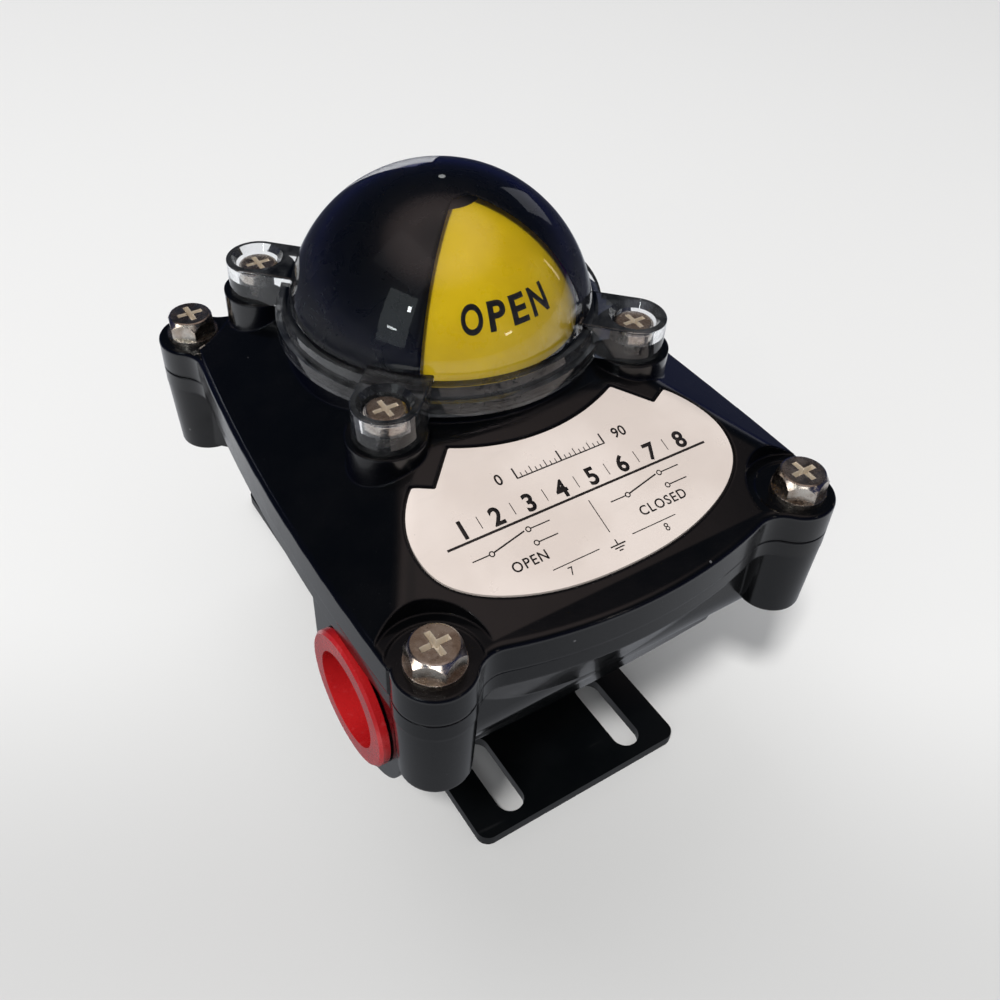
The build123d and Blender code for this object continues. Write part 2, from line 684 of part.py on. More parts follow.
with BuildPart() as terminal_block_screws:
    with BuildSketch(Plane.XY.offset(15.6)):
        with Locations((-23, -35), (23, -35)):
            Circle(1.4)
    extrude(amount=8.4)
    with BuildSketch(Plane.XY.offset(24.0)):
        with Locations((-23, -35), (23, -35)):
            Circle(2.6)
    extrude(amount=1.8)
    with BuildSketch(Plane.XY.offset(24.9)):
        with Locations((-23, -35), (23, -35)):
            Rectangle(4.2, 0.7)
            Rectangle(0.7, 4.2)
    extrude(amount=0.9, mode=Mode.SUBTRACT)
save(terminal_block_screws, "terminal_block_screws")

with BuildPart() as earth_screw:
    with BuildSketch(Plane.XY.offset(18.0)):
        with Locations((23.0, -8.0)):
            Circle(4.0)
    extrude(amount=1.0)
    with BuildSketch(Plane.XY.offset(19.0)):
        with Locations((23.0, -8.0)):
            Circle(3.2)
    extrude(amount=2.2)
    with BuildSketch(Plane.XY.offset(20.2)):
        with Locations((23.0, -8.0)):
            Rectangle(5.0, 0.8)
            Rectangle(0.8, 5.0)
    extrude(amount=1.0, mode=Mode.SUBTRACT)
save(earth_screw, "earth_screw")

WIRE_R = 0.5
for k, nm in enumerate(("lower", "upper")):
    zm = SW_Z[k] + SW_T / 2
    s = -1 if k == 0 else 1
    for i in range(3):
        x0 = s * (7.2, 0, -7.2)[i]
        lane = 27.5 + 1.1 * i
        side = 19.0 + 1.2 * i
        turn = -19.0 - 1.5 * i
        xt = s * (7.5 + 5 * i)
        y0 = SW_Y + SW_D + 2.0
        path = [(x0, y0, zm), (x0, lane, zm), (s * side, lane, zm), (s * side, turn, 26.6), (xt, turn, 26.6), (xt, -33.0, 26.6)]
        with BuildPart() as wire:
            with BuildLine() as wl:
                FilletPolyline(*path, radius=1.15)
            with BuildSketch(Plane(origin=path[0], z_dir=(0, 1, 0))):
                Circle(WIRE_R)
            sweep(transition=Transition.ROUND)
        save(wire, "wire_%s_%d" % (nm, i + 1))
        print("wire", nm, i, round(sum(e.length for e in wl.edges()), 1), wire.part.is_valid)

# ---------------------------------------------------------------- entry plug
with BuildPart() as entry_plug:
    with BuildSketch(Plane.YZ.offset(-PAD_X - 0.3)):
        with Locations((ENTRY_Y, ENTRY_Z)):
            Circle(12.5)
    extrude(amount=-1.8)
    chamfer([e for e in edges().filter_by(GeomType.CIRCLE) if abs(e.center().X + PAD_X + 2.1) < 0.01], 0.5)
    with BuildSketch(Plane.YZ.offset(-PAD_X - 0.3)):
        with Locations((ENTRY_Y, ENTRY_Z)):
            Circle(PLUGGED_R - 0.1)
    extrude(amount=9.0)
    with BuildSketch(Plane.YZ.offset(-PAD_X - 2.1)):
        with Locations((ENTRY_Y, ENTRY_Z)):
            Circle(8.9)
    extrude(amount=9.2, mode=Mode.SUBTRACT)
    with BuildSketch(Plane.YZ.offset(-PAD_X + 7.1 - 0.01)):
        with Locations((ENTRY_Y, ENTRY_Z)):
            Circle(6.2)
    extrude(amount=-3.2)
    with BuildSketch(Plane.YZ.offset(-PAD_X + 8.0)):
        with Locations((ENTRY_Y, ENTRY_Z)):
            Circle(5.0)
    extrude(amount=-5.0, mode=Mode.SUBTRACT)
    with BuildSketch(Plane.YZ.offset(-PAD_X + 4.5)):
        with Locations((ENTRY_Y, ENTRY_Z)):
            Circle(5.2)
    extrude(amount=-0.6 - 0.01)
save(entry_plug, "entry_plug")

# ---------------------------------------------------------------- cover
with BuildPart() as raised_part:
    add(hip_block.part)
    with BuildSketch(Plane.XY.offset(RIM_Z - 2.0)):
        with BuildLine():
            lid_face(0.7)
        make_face()
        with Locations(*BOLTS):
            Circle(9.6, mode=Mode.SUBTRACT)
    extrude(amount=20, mode=Mode.INTERSECT)

with BuildPart() as label_pocket:
    with BuildSketch(Plane.XY.offset(46)):
        with BuildLine():
            label_face(0.45)
        make_face()
    extrude(amount=24)
    add(hip_block.part.moved(Location((0, 0, -0.55))), mode=Mode.SUBTRACT)

with BuildPart() as label_plate:
    with BuildSketch(Plane.XY.offset(46)):
        with BuildLine():
            label_face()
        make_face()
        fillet([v for v in vertices() if v.Y > -38], 0.5)
    extrude(amount=24)
    add(hip_block.part.moved(Location((0, 0, -0.1))), mode=Mode.INTERSECT)
    add(hip_block.part.moved(Location((0, 0, -0.55))), mode=Mode.SUBTRACT)
save(label_plate, "label_plate")
print("label", label_plate.part.is_valid, len(label_plate.part.solids()), label_plate.part.volume)

with BuildPart() as cover_shell:
    with BuildSketch(Plane.XY.offset(COVER_BOT)) as lid_sk:
        with BuildLine():
            lid_face()
        make_face()
        with Locations(*BOLTS):
            Circle(EAR_R)
        fillet(valleys(lid_sk.sketch_local, EAR_R), VALLEY_R)
    extrude(amount=RIM_Z - COVER_BOT)
    fillet([e for e in edges() if abs(e.center().Z - RIM_Z) < 0.01], 1.1)
    add(raised_part.part)
    # neck and bosses under the dome
    with BuildSketch(Plane.XY.offset(50)):
        Circle(29.2)
        with Locations(*EARS):
            Circle(BOSS_R)
    extrude(amount=SEAT_Z - 50)
    # ear pads
    with BuildSketch(Plane.XY.offset(PAD_Z)):
        with Locations(*BOLTS):
            Circle(7.6)
    extrude(amount=8, mode=Mode.SUBTRACT)
    add(label_pocket.part, mode=Mode.SUBTRACT)

with BuildPart() as cover_hollow:
    add(hip_block.part.moved(Location((0, 0, -3.4))))
    with BuildSketch(Plane.XY.offset(COVER_BOT - 2)):
        with BuildLine():
            body_line(0.0, 5.4)
        make_face()
    extrude(amount=30, mode=Mode.INTERSECT)
    with BuildSketch(Plane.XY.offset(54.0)):
        Circle(8.6)
        with Locations(*EARS):
            Circle(4.4)
    extrude(amount=10, mode=Mode.SUBTRACT)
    with BuildSketch(Plane.XY.offset(RIM_Z - 3.0)):
        with Locations(*BOLTS):
            Circle(12.4)
    extrude(amount=20, mode=Mode.SUBTRACT)

with BuildPart() as cover:
    add(cover_shell.part)
    add(cover_hollow.part, mode=Mode.SUBTRACT)
    with BuildSketch(Plane.XY.offset(40)):
        Circle(6.0)
        with Locations(*BOLTS):
            Circle(2.75)
    extrude(amount=30, mode=Mode.SUBTRACT)
    with BuildSketch(Plane.XY.offset(COVER_BOT)):
        with Locations(*BOLTS):
            Circle(4.0)
    extrude(amount=1.4, mode=Mode.SUBTRACT)
    with BuildSketch(Plane.XY.offset(55.6)):
        with Locations(*EARS):
            Circle(1.75)
    extrude(amount=10, mode=Mode.SUBTRACT)
    with BuildSketch(Plane.XY.offset(SEAT_Z - 0.9)):
        Circle(28.4)
        Circle(26.9, mode=Mode.SUBTRACT)
    extrude(amount=2, mode=Mode.SUBTRACT)
save(cover, "cover")
print("cover", cover.part.is_valid, len(cover.part.solids()), cover.part.volume)

with BuildPart() as dome_gasket:
    with BuildSketch(Plane.XY.offset(SEAT_Z - 0.9)):
        Circle(28.4)
        Circle(26.9, mode=Mode.SUBTRACT)
    extrude(amount=0.9)
save(dome_gasket, "dome_gasket")

with BuildPart() as spindle_bush:
    with BuildSketch(Plane.XY.offset(56.4)):
        Circle(6.0)
        Circle(4.56, mode=Mode.SUBTRACT)
    extrude(amount=SEAT_Z - 56.4)
save(spindle_bush, "spindle_bush")

with BuildPart() as cover_bolt_washers:
    with BuildSketch(Plane.XY.offset(PAD_Z)):
        with Locations(*BOLTS):
            Circle(4.95)
            Circle(2.6, mode=Mode.SUBTRACT)
    extrude(amount=1.0)
save(cover_bolt_washers, "cover_bolt_washers")

HEAD_AF = 8.4
HEAD_H = 3.75
def cross_bar(r, w):
    Rectangle(2 * r, w)
    Rectangle(w, 2 * r)

with BuildPart() as cover_bolts:
    with BuildSketch(Plane.XY.offset(PAD_Z + 1.0)):
        with Locations(*BOLTS):
            RegularPolygon(HEAD_AF / 2, 6, major_radius=False, rotation=18)
    extrude(amount=HEAD_H)
    # round chamfer on the heads
    for bx, by in BOLTS:
        with BuildSketch(Plane.XZ.offset(-by)):
            with BuildLine():
                zt = PAD_Z + 1.0 + HEAD_H
                Polyline((bx + 3.75, zt + 0.01), (bx + 3.75, zt), (bx + 4.0, zt - 0.14), (bx + 4.78, zt - 1.6), (bx + 5.3, zt - 1.6), (bx + 5.3, zt + 0.01), close=True)
            make_face()
        revolve(axis=Axis((bx, by, 0), (0, 0, 1)), mode=Mode.SUBTRACT)
    with BuildSketch(Plane.XY.offset(29.6)):
        with Locations(*BOLTS):
            Circle(2.5)
    extrude(amount=PAD_Z + 1.0 - 29.6)
    with BuildSketch(Plane.XY.offset(PAD_Z + 1.0 + HEAD_H)):
        with Locations(*BOLTS):
            cross_bar(2.5, 1.1)
    extrude(amount=-1.7, taper=8, mode=Mode.SUBTRACT)
save(cover_bolts, "cover_bolts")

with BuildPart() as bolt_retainers:
    with BuildSketch(Plane.XY.offset(COVER_BOT)):
        with Locations(*BOLTS):
            Circle(3.9)
            Circle(2.5, mode=Mode.SUBTRACT)
    extrude(amount=0.9)
save(bolt_retainers, "bolt_retainers")

# ---------------------------------------------------------------- dome
with BuildPart() as dome:
    with BuildSketch(Plane.XY.offset(SEAT_Z)):
        for sx in (-1, 1):
            for sy in (-1, 1):
                with Locations((sx * EAR_A, sy * EAR_A)):
                    Circle(DEAR_R)
                with Locations(Location((sx * 20.0, sy * 20.0), 45.0 * sx * sy)):
                    Rectangle(2 * (EAR_A - 20.0) * math.sqrt(2), 2 * DEAR_R)
    extrude(amount=DEAR_TOP - SEAT_Z)
    fillet([e for e in edges() if abs(e.center().Z - DEAR_TOP) < 0.01 and math.hypot(e.center().X, e.center().Y) > 30], 0.4)
    with BuildSketch(Plane.XY.offset(SEAT_Z)):
        Circle(FLANGE_R1)
    extrude(amount=FLANGE_H1)
    with BuildSketch(Plane.XY.offset(SEAT_Z)):
        Circle(FLANGE_R2)
    extrude(amount=FLANGE_H2)
    with BuildSketch(Plane.XZ):
        with BuildLine():
            Line((0, SEAT_Z), (DOME_R, SEAT_Z))
            CenterArc((0, SEAT_Z), DOME_R, 0, 90)
            Line((0, SEAT_Z + DOME_R), (0, SEAT_Z))
        make_face()
    revolve(axis=Axis.Z)
    with BuildSketch(Plane.XZ):
        with BuildLine():
            ri = DOME_R - DOME_T
            Line((0, SEAT_Z), (ri, SEAT_Z))
            CenterArc((0, SEAT_Z), ri, 0, 90)
            Line((0, SEAT_Z + ri), (0, SEAT_Z))
        make_face()
    revolve(axis=Axis.Z, mode=Mode.SUBTRACT)
    with BuildSketch(Plane.XY.offset(SEAT_Z)):
        with Locations(*EARS):
            Circle(1.95)
    extrude(amount=12, mode=Mode.SUBTRACT)
    with BuildSketch(Plane.XY.offset(67.2)):
        with Locations(*EARS):
            Circle(4.0)
    extrude(amount=8, mode=Mode.SUBTRACT)
    for ex, ey in EARS:
        with BuildSketch(Plane.XZ.offset(-ey)):
            with BuildLine():
                Polyline((ex, DEAR_TOP + 0.5), (ex + 5.1, DEAR_TOP + 0.5), (ex + 3.95, DEAR_TOP - 1.3), (ex, DEAR_TOP - 1.3), close=True)
            make_face()
        revolve(axis=Axis((ex, ey, 0), (0, 0, 1)), mode=Mode.SUBTRACT)
save(dome, "dome")
print("dome", dome.part.is_valid, len(dome.part.solids()), dome.part.volume)

with BuildPart() as dome_screws:
    with BuildSketch(Plane.XY.offset(67.2)):
        with Locations(*EARS):
            Circle(3.65)
    extrude(amount=2.4)
    fillet([e for e in edges() if abs(e.center().Z - 69.6) < 0.01], 0.7)
    with BuildSketch(Plane.XY.offset(56.6)):
        with Locations(*EARS):
            Circle(1.7)
    extrude(amount=67.2 - 56.6)
    with BuildSketch(Plane.XY.offset(69.6)):
        with Locations(*EARS):
            cross_bar(2.25, 0.95)
    extrude(amount=-1.5, taper=8, mode=Mode.SUBTRACT)
save(dome_screws, "dome_screws")

CAP_R = 6.2                # cap over the indicator's hub
with BuildPart() as dome_mask:
    with BuildSketch(Plane.XZ):
        with BuildLine():
            Line((MASK_RI, SEAT_Z), (MASK_RO, SEAT_Z))
            CenterArc((0, SEAT_Z), MASK_RO, 0, 90)
            Line((0, SEAT_Z + MASK_RO), (0, SEAT_Z + MASK_RI))
            CenterArc((0, SEAT_Z), MASK_RI, 90, -90)
        make_face()
    revolve(axis=Axis.Z)
    with BuildSketch(Plane.XY.offset(68.6)):
        for s in (-1, 1):
            with BuildLine():
                turn = math.acos(WIN_BAND / CAP_R) - math.pi / 4
                cx, cy = CAP_R * math.sin(turn), s * CAP_R * math.cos(turn)
                Polyline((cx, cy), (cx + 40, cy + s * 40), (-cx - 40, cy + s * 40), (-cx, cy))
                ThreePointArc((-cx, cy), (0, s * CAP_R), (cx, cy))
            make_face()
    extrude(amount=30, mode=Mode.SUBTRACT)
save(dome_mask, "dome_mask")
print("mask", dome_mask.part.is_valid, len(dome_mask.part.solids()))

# ---------------------------------------------------------------- indicator
with BuildPart() as indicator_spindle:
    with BuildSketch(Plane.XY.offset(46.6)):
        Circle(7.4)
    extrude(amount=6.8)
    with BuildSketch(Plane.XY.offset(53.4)):
        Circle(4.5)
    extrude(amount=13)
    with BuildSketch(Plane.XY.offset(65.6)):
        Circle(23.6)
    extrude(amount=2.0)
    with BuildSketch(Plane.XY.offset(67.6)):
        Circle(6.0)
    extrude(amount=19.0)
    with BuildSketch(Plane.XY.offset(46.6)):
        Rectangle(4.7, 16)
    extrude(amount=5.2, mode=Mode.SUBTRACT)
    with BuildSketch(Plane.XY.offset(80.0)):
        Circle(1.5)
    extrude(amount=8, mode=Mode.SUBTRACT)
save(indicator_spindle, "indicator_spindle")

for nm, a0 in (("open", -90.0), ("closed", 0.0)):
    with BuildPart() as sect:
        with BuildSketch(Plane.XZ):
            with BuildLine():
                zc = SEAT_Z
                ang = math.degrees(math.asin((67.6 - zc) / ROT_RO))
                ang2 = math.degrees(math.asin((67.6 - zc) / ROT_RI))
                top = math.degrees(math.acos(6.4 / ROT_RO))
                top2 = math.degrees(math.acos(6.4 / ROT_RI))
                CenterArc((0, zc), ROT_RO, ang, top - ang)
                Line((ROT_RO * math.cos(math.radians(top)), zc + ROT_RO * math.sin(math.radians(top))), (ROT_RI * math.cos(math.radians(top2)), zc + ROT_RI * math.sin(math.radians(top2))))
                CenterArc((0, zc), ROT_RI, top2, ang2 - top2)
                Line((ROT_RI * math.cos(math.radians(ang2)), 67.6), (ROT_RO * math.cos(math.radians(ang)), 67.6))
            make_face()
        revolve(axis=Axis.Z)
        with BuildSketch(Plane.XY.offset(60)):
            for a in (a0, a0 + 180):
                with BuildLine():
                    h = 44.9
                    Polyline((0, 0), (45 * math.cos(math.radians(a - h)), 45 * math.sin(math.radians(a - h))), (62 * math.cos(math.radians(a)), 62 * math.sin(math.radians(a))),
                             (45 * math.cos(math.radians(a + h)), 45 * math.sin(math.radians(a + h))), close=True)
                make_face()
        extrude(amount=40, mode=Mode.INTERSECT)
    save(sect, "indicator_" + nm)
    print("sector", nm, sect.part.is_valid, len(sect.part.solids()))

with BuildPart() as indicator_cap:
    with BuildSketch(Plane.XY.offset(86.6)):
        Circle(6.2)
    extrude(amount=1.8)
    with BuildSketch(Plane.XY.offset(80.4)):
        Circle(1.5)
    extrude(amount=6.2)
save(indicator_cap, "indicator_cap")
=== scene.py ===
import json
import math

import bpy
import bmesh
from mathutils import Matrix, Vector
from mathutils.bvhtree import BVHTree


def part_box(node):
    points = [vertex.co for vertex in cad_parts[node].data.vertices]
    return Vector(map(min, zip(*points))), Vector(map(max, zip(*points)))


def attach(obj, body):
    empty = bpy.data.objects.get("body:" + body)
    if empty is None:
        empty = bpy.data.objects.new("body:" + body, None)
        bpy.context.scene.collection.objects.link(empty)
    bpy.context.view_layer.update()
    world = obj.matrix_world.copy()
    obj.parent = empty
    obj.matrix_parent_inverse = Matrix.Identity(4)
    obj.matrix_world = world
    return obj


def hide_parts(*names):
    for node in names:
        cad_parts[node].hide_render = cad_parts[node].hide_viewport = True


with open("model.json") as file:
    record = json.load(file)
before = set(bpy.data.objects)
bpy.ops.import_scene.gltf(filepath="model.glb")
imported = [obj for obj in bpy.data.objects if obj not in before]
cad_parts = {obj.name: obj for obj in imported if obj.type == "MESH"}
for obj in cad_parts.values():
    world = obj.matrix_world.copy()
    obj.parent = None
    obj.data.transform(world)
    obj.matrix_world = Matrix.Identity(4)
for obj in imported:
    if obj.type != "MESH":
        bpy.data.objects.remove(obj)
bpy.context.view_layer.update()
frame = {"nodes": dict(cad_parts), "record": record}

NODES = frame["nodes"]
MM = 0.001


# ---------------------------------------------------------------- camera
AZ, EL, ROLL = math.radians(-34.99), math.radians(43.55), math.radians(3.23)
back = Vector((math.sin(AZ) * math.cos(EL), -math.cos(AZ) * math.cos(EL), math.sin(EL)))
fw = -back
right = fw.cross(Vector((0, 0, 1))).normalized()
up = right.cross(fw)
right2 = math.cos(ROLL) * right + math.sin(ROLL) * up
up2 = -math.sin(ROLL) * right + math.cos(ROLL) * up
cam_data = bpy.data.cameras.new("camera")
cam_data.sensor_width = 36.0
cam_data.lens = 37.68
cam_data.clip_start = 0.005
cam_data.clip_end = 50.0
cam = bpy.data.objects.new("camera", cam_data)
bpy.context.scene.collection.objects.link(cam)
rot = Matrix((right2, up2, back)).transposed().to_4x4()
cam.matrix_world = Matrix.Translation(Vector((-84.96, -143.98, 175.55)) * MM) @ rot
bpy.context.scene.camera = cam
bpy.context.scene.view_settings.view_transform = "Standard"


# ---------------------------------------------------------------- node helpers
class Tree:
    """a material's node tree with short calls"""

    def __init__(self, name):
        self.mat = bpy.data.materials.new(name)
        self.mat.use_nodes = True
        self.nt = self.mat.node_tree
        self.nt.nodes.clear()
        self.out = self.nt.nodes.new("ShaderNodeOutputMaterial")
        self.bsdf = self.nt.nodes.new("ShaderNodeBsdfPrincipled")
        self.nt.links.new(self.bsdf.outputs[0], self.out.inputs[0])
        self.co = self.nt.nodes.new("ShaderNodeTexCoord").outputs["Object"]

    def new(self, kind, **props):
        n = self.nt.nodes.new(kind)
        for k, v in props.items():
            setattr(n, k, v)
        return n

    def link(self, a, b):
        self.nt.links.new(a, b)

    def noise(self, scale, detail=3.0, rough=0.5, vec=None, distortion=0.0):
        n = self.new("ShaderNodeTexNoise")
        n.inputs["Scale"].default_value = scale
        n.inputs["Detail"].default_value = detail
        n.inputs["Roughness"].default_value = rough
        n.inputs["Distortion"].default_value = distortion
        self.link(vec or self.co, n.inputs["Vector"])
        return n.outputs["Fac"]

    def voronoi(self, scale, feature="F1", out="Distance", rand=1.0, vec=None):
        n = self.new("ShaderNodeTexVoronoi", feature=feature)
        n.inputs["Scale"].default_value = scale
        n.inputs["Randomness"].default_value = rand
        self.link(vec or self.co, n.inputs["Vector"])
        return n.outputs[out]

    def mapping(self, scale=(1, 1, 1), loc=(0, 0, 0), rot=(0, 0, 0)):
        n = self.new("ShaderNodeMapping")
        n.inputs["Scale"].default_value = scale
        n.inputs["Location"].default_value = loc
        n.inputs["Rotation"].default_value = rot
        self.link(self.co, n.inputs["Vector"])
        return n.outputs[0]

    def rng(self, val, a, b, c=0.0, d=1.0, smooth=False):
        n = self.new("ShaderNodeMapRange", interpolation_type="SMOOTHSTEP" if smooth else "LINEAR")
        n.inputs["From Min"].default_value = a
        n.inputs["From Max"].default_value = b
        n.inputs["To Min"].default_value = c
        n.inputs["To Max"].default_value = d
        self.link(val, n.inputs["Value"])
        return n.outputs["Result"]

    def math(self, op, a, b=None, clamp=False):
        n = self.new("ShaderNodeMath", operation=op, use_clamp=clamp)
        for i, v in enumerate((a, b)):
            if v is None:
                continue
            if isinstance(v, (int, float)):
                n.inputs[i].default_value = v
            else:
                self.link(v, n.inputs[i])
        return n.outputs[0]

    def mix(self, fac, a, b):
        n = self.new("ShaderNodeMix", data_type="RGBA")
        self.link(fac, n.inputs[0])
        for s, v in ((6, a), (7, b)):
            if isinstance(v, (tuple, list)):
                n.inputs[s].default_value = (*v[:3], 1)
            else:
                self.link(v, n.inputs[s])
        return n.outputs[2]

    def bump(self, height, dist, strength=1.0, normal=None):
        n = self.new("ShaderNodeBump")
        n.inputs["Strength"].default_value = strength
        n.inputs["Distance"].default_value = dist
        self.link(height, n.inputs["Height"])
        if normal is not None:
            self.link(normal, n.inputs["Normal"])
        return n.outputs[0]

    def set(self, **kw):
        names = dict(
            color="Base Color", rough="Roughness", metal="Metallic", ior="IOR", coat="Coat Weight", coat_rough="Coat Roughness",
            trans="Transmission Weight", normal="Normal", spec="Specular IOR Level", sheen="Sheen Weight", aniso="Anisotropic",
            sss="Subsurface Weight", alpha="Alpha", coat_normal="Coat Normal",
        )
        for k, v in kw.items():
            s = self.bsdf.inputs[names[k]]
            if isinstance(v, (int, float)):
                s.default_value = v
            elif isinstance(v, (tuple, list)):
                s.default_value = (*v[:3], 1)
            else:
                self.link(v, s)
        return self.mat


def shade(c, k):
    return tuple(min(1.0, x * k) for x in c)


def plastic(name, base, rough=0.35, vary=0.12, grain=900.0, bump=0.00002, coat=0.0, coat_rough=0.1, gloss_var=0.08, sss=0.0):
    """moulded plastic: slow tint drift, fine mould grain, handling marks in the gloss"""
    t = Tree(name)
    drift = t.noise(45.0, 3.0, 0.55)
    fine = t.noise(grain, 4.0, 0.6)
    col = t.mix(t.rng(drift, 0.35, 0.65, smooth=True), shade(base, 1 - vary), shade(base, 1 + vary * 0.6))
    marks = t.noise(160.0, 5.0, 0.65, distortion=0.6)
    r = t.rng(marks, 0.3, 0.75, max(0.02, rough - gloss_var), min(1.0, rough + gloss_var))
    t.set(color=col, rough=r, metal=0.0, ior=1.5, coat=coat, coat_rough=coat_rough, sss=sss)
    t.set(normal=t.bump(fine, bump))
    return t.mat


def metal(name, base, rough=0.3, vary=0.15, streak=(1, 1, 1), grain=1500.0, bump=0.000006, tarnish=None, rvar=0.08):
    """plain metal: fine drawn or turned lines, blotches of dull plating, optional tarnish"""
    t = Tree(name)
    lines = t.noise(grain, 3.0, 0.6, vec=t.mapping(scale=streak))
    blot = t.noise(140.0, 4.0, 0.6, distortion=0.3)
    col = t.mix(t.rng(blot, 0.35, 0.68, smooth=True), shade(base, 1 - vary), shade(base, 1 + vary * 0.5))
    if tarnish:
        spots = t.rng(t.noise(420.0, 5.0, 0.7), 0.56, 0.72, smooth=True)
        col = t.mix(spots, col, tarnish)
    r = t.rng(blot, 0.3, 0.7, max(0.04, rough - rvar), rough + rvar)
    t.set(color=col, metal=1.0, rough=r, ior=1.5)
    t.set(normal=t.bump(lines, bump))
    return t.mat


# centres (|x|, y), radius and height range of the crosses punched in the screw heads, where a painted highlight goes
b_lo, b_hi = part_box("cover_bolts")
s_lo, s_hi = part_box("dome_screws")
w_lo, w_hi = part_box("cover_bolt_washers")
BX = w_hi.x - 4.95 * MM
RECESSES = [
    (BX, w_lo.y + 4.95 * MM, 2.65 * MM, b_hi.z - 1.75 * MM, b_hi.z - 0.03 * MM),
    (BX, w_hi.y - 4.95 * MM, 2.65 * MM, b_hi.z - 1.75 * MM, b_hi.z - 0.03 * MM),
    (s_hi.x - 3.65 * MM, s_lo.y + 3.65 * MM, 2.35 * MM, s_hi.z - 1.6 * MM, s_hi.z - 0.03 * MM),
    (s_hi.x - 3.65 * MM, s_hi.y - 3.65 * MM, 2.35 * MM, s_hi.z - 1.6 * MM, s_hi.z - 0.03 * MM),
]


# ---------------------------------------------------------------- materials
def black_coat():
    """gloss powder coat on a die casting: orange peel, casting specks, dust"""
    t = Tree("black_coat")
    peel = t.noise(620.0, 2.5, 0.5)
    wave = t.noise(95.0, 2.0, 0.5)
    # sparse specks: cells whose own number is high carry one
    dist = t.voronoi(330.0)
    cell = t.new("ShaderNodeTexVoronoi", feature="F1")
    cell.inputs["Scale"].default_value = 330.0
    t.link(t.co, cell.inputs["Vector"])
    sep = t.new("ShaderNodeSeparateColor")
    t.link(cell.outputs["Color"], sep.inputs[0])
    pick = t.math("GREATER_THAN", sep.outputs[0], 0.955)
    size = t.rng(sep.outputs[1], 0.0, 1.0, 0.03, 0.085)
    dot = t.math("LESS_THAN", dist, size)
    speck = t.math("MULTIPLY", dot, pick)
    tint = t.mix(t.rng(wave, 0.35, 0.65, smooth=True), (0.0009, 0.0011, 0.0015), (0.0017, 0.0018, 0.0022))
    dust = t.rng(t.noise(2300.0, 2.0, 0.5), 0.70, 0.80, smooth=True)
    col = t.mix(t.math("MULTIPLY", dust, 0.3), tint, (0.012, 0.0125, 0.014))
    col = t.mix(speck, col, (0.10, 0.10, 0.105))
    rough = t.rng(t.noise(240.0, 4.0, 0.6), 0.3, 0.7, 0.13, 0.23)
    rough = t.math("ADD", rough, t.math("MULTIPLY", dust, 0.12))
    h = t.math("ADD", t.math("MULTIPLY", peel, 0.5), t.math("MULTIPLY", wave, 1.6))
    h = t.math("ADD", h, t.math("MULTIPLY", speck, 1.3))
    bev = t.new("ShaderNodeBevel")
    bev.samples = 6
    bev.inputs["Radius"].default_value = 0.0006
    t.set(color=col, rough=rough, metal=0.0, ior=1.5, coat=0.25, coat_rough=0.04)
    t.set(normal=t.bump(h, 0.000024, 0.8, normal=bev.outputs[0]), coat_normal=bev.outputs[0])
    return t.mat


def bracket_black():
    """satin coated steel sheet with a slight texture and rubbed patches"""
    t = Tree("bracket_black")
    grain = t.noise(1700.0, 3.0, 0.6)
    blot = t.noise(60.0, 4.0, 0.6)
    col = t.mix(t.rng(blot, 0.35, 0.65, smooth=True), (0.0012, 0.0018, 0.0024), (0.0026, 0.0032, 0.0038))
    scr = t.rng(t.noise(500.0, 2.0, 0.4, vec=t.mapping(scale=(0.12, 1, 1), rot=(0, 0, 0.5))), 0.70, 0.76, smooth=True)
    col = t.mix(t.math("MULTIPLY", scr, 0.25), col, (0.03, 0.03, 0.032))
    t.set(color=col, rough=t.rng(blot, 0.3, 0.7, 0.30, 0.42), metal=0.0, ior=1.45)
    t.set(normal=t.bump(grain, 0.00002, 0.7))
    return t.mat


def label_silver():
    """printed foil: warm white satin with a faint grain and soft dulling"""
    t = Tree("label_silver")
    fibre = t.noise(900.0, 3.0, 0.6, vec=t.mapping(scale=(0.25, 1, 1)))
    blot = t.noise(55.0, 3.0, 0.5)
    col = t.mix(t.rng(blot, 0.35, 0.65, smooth=True), (0.70, 0.615, 0.565), (0.78, 0.695, 0.645))
    col = t.mix(t.math("MULTIPLY", t.rng(fibre, 0.55, 0.75, smooth=True), 0.12), col, (0.6, 0.54, 0.5))
    t.set(color=col, rough=t.rng(t.noise(300.0, 3.0, 0.6), 0.3, 0.7, 0.26, 0.38), metal=0.15, ior=1.5)
    t.set(normal=t.bump(t.math("ADD", t.math("MULTIPLY", fibre, 0.25), t.math("MULTIPLY", blot, 3.0)), 0.00003, 0.6))
    return t.mat


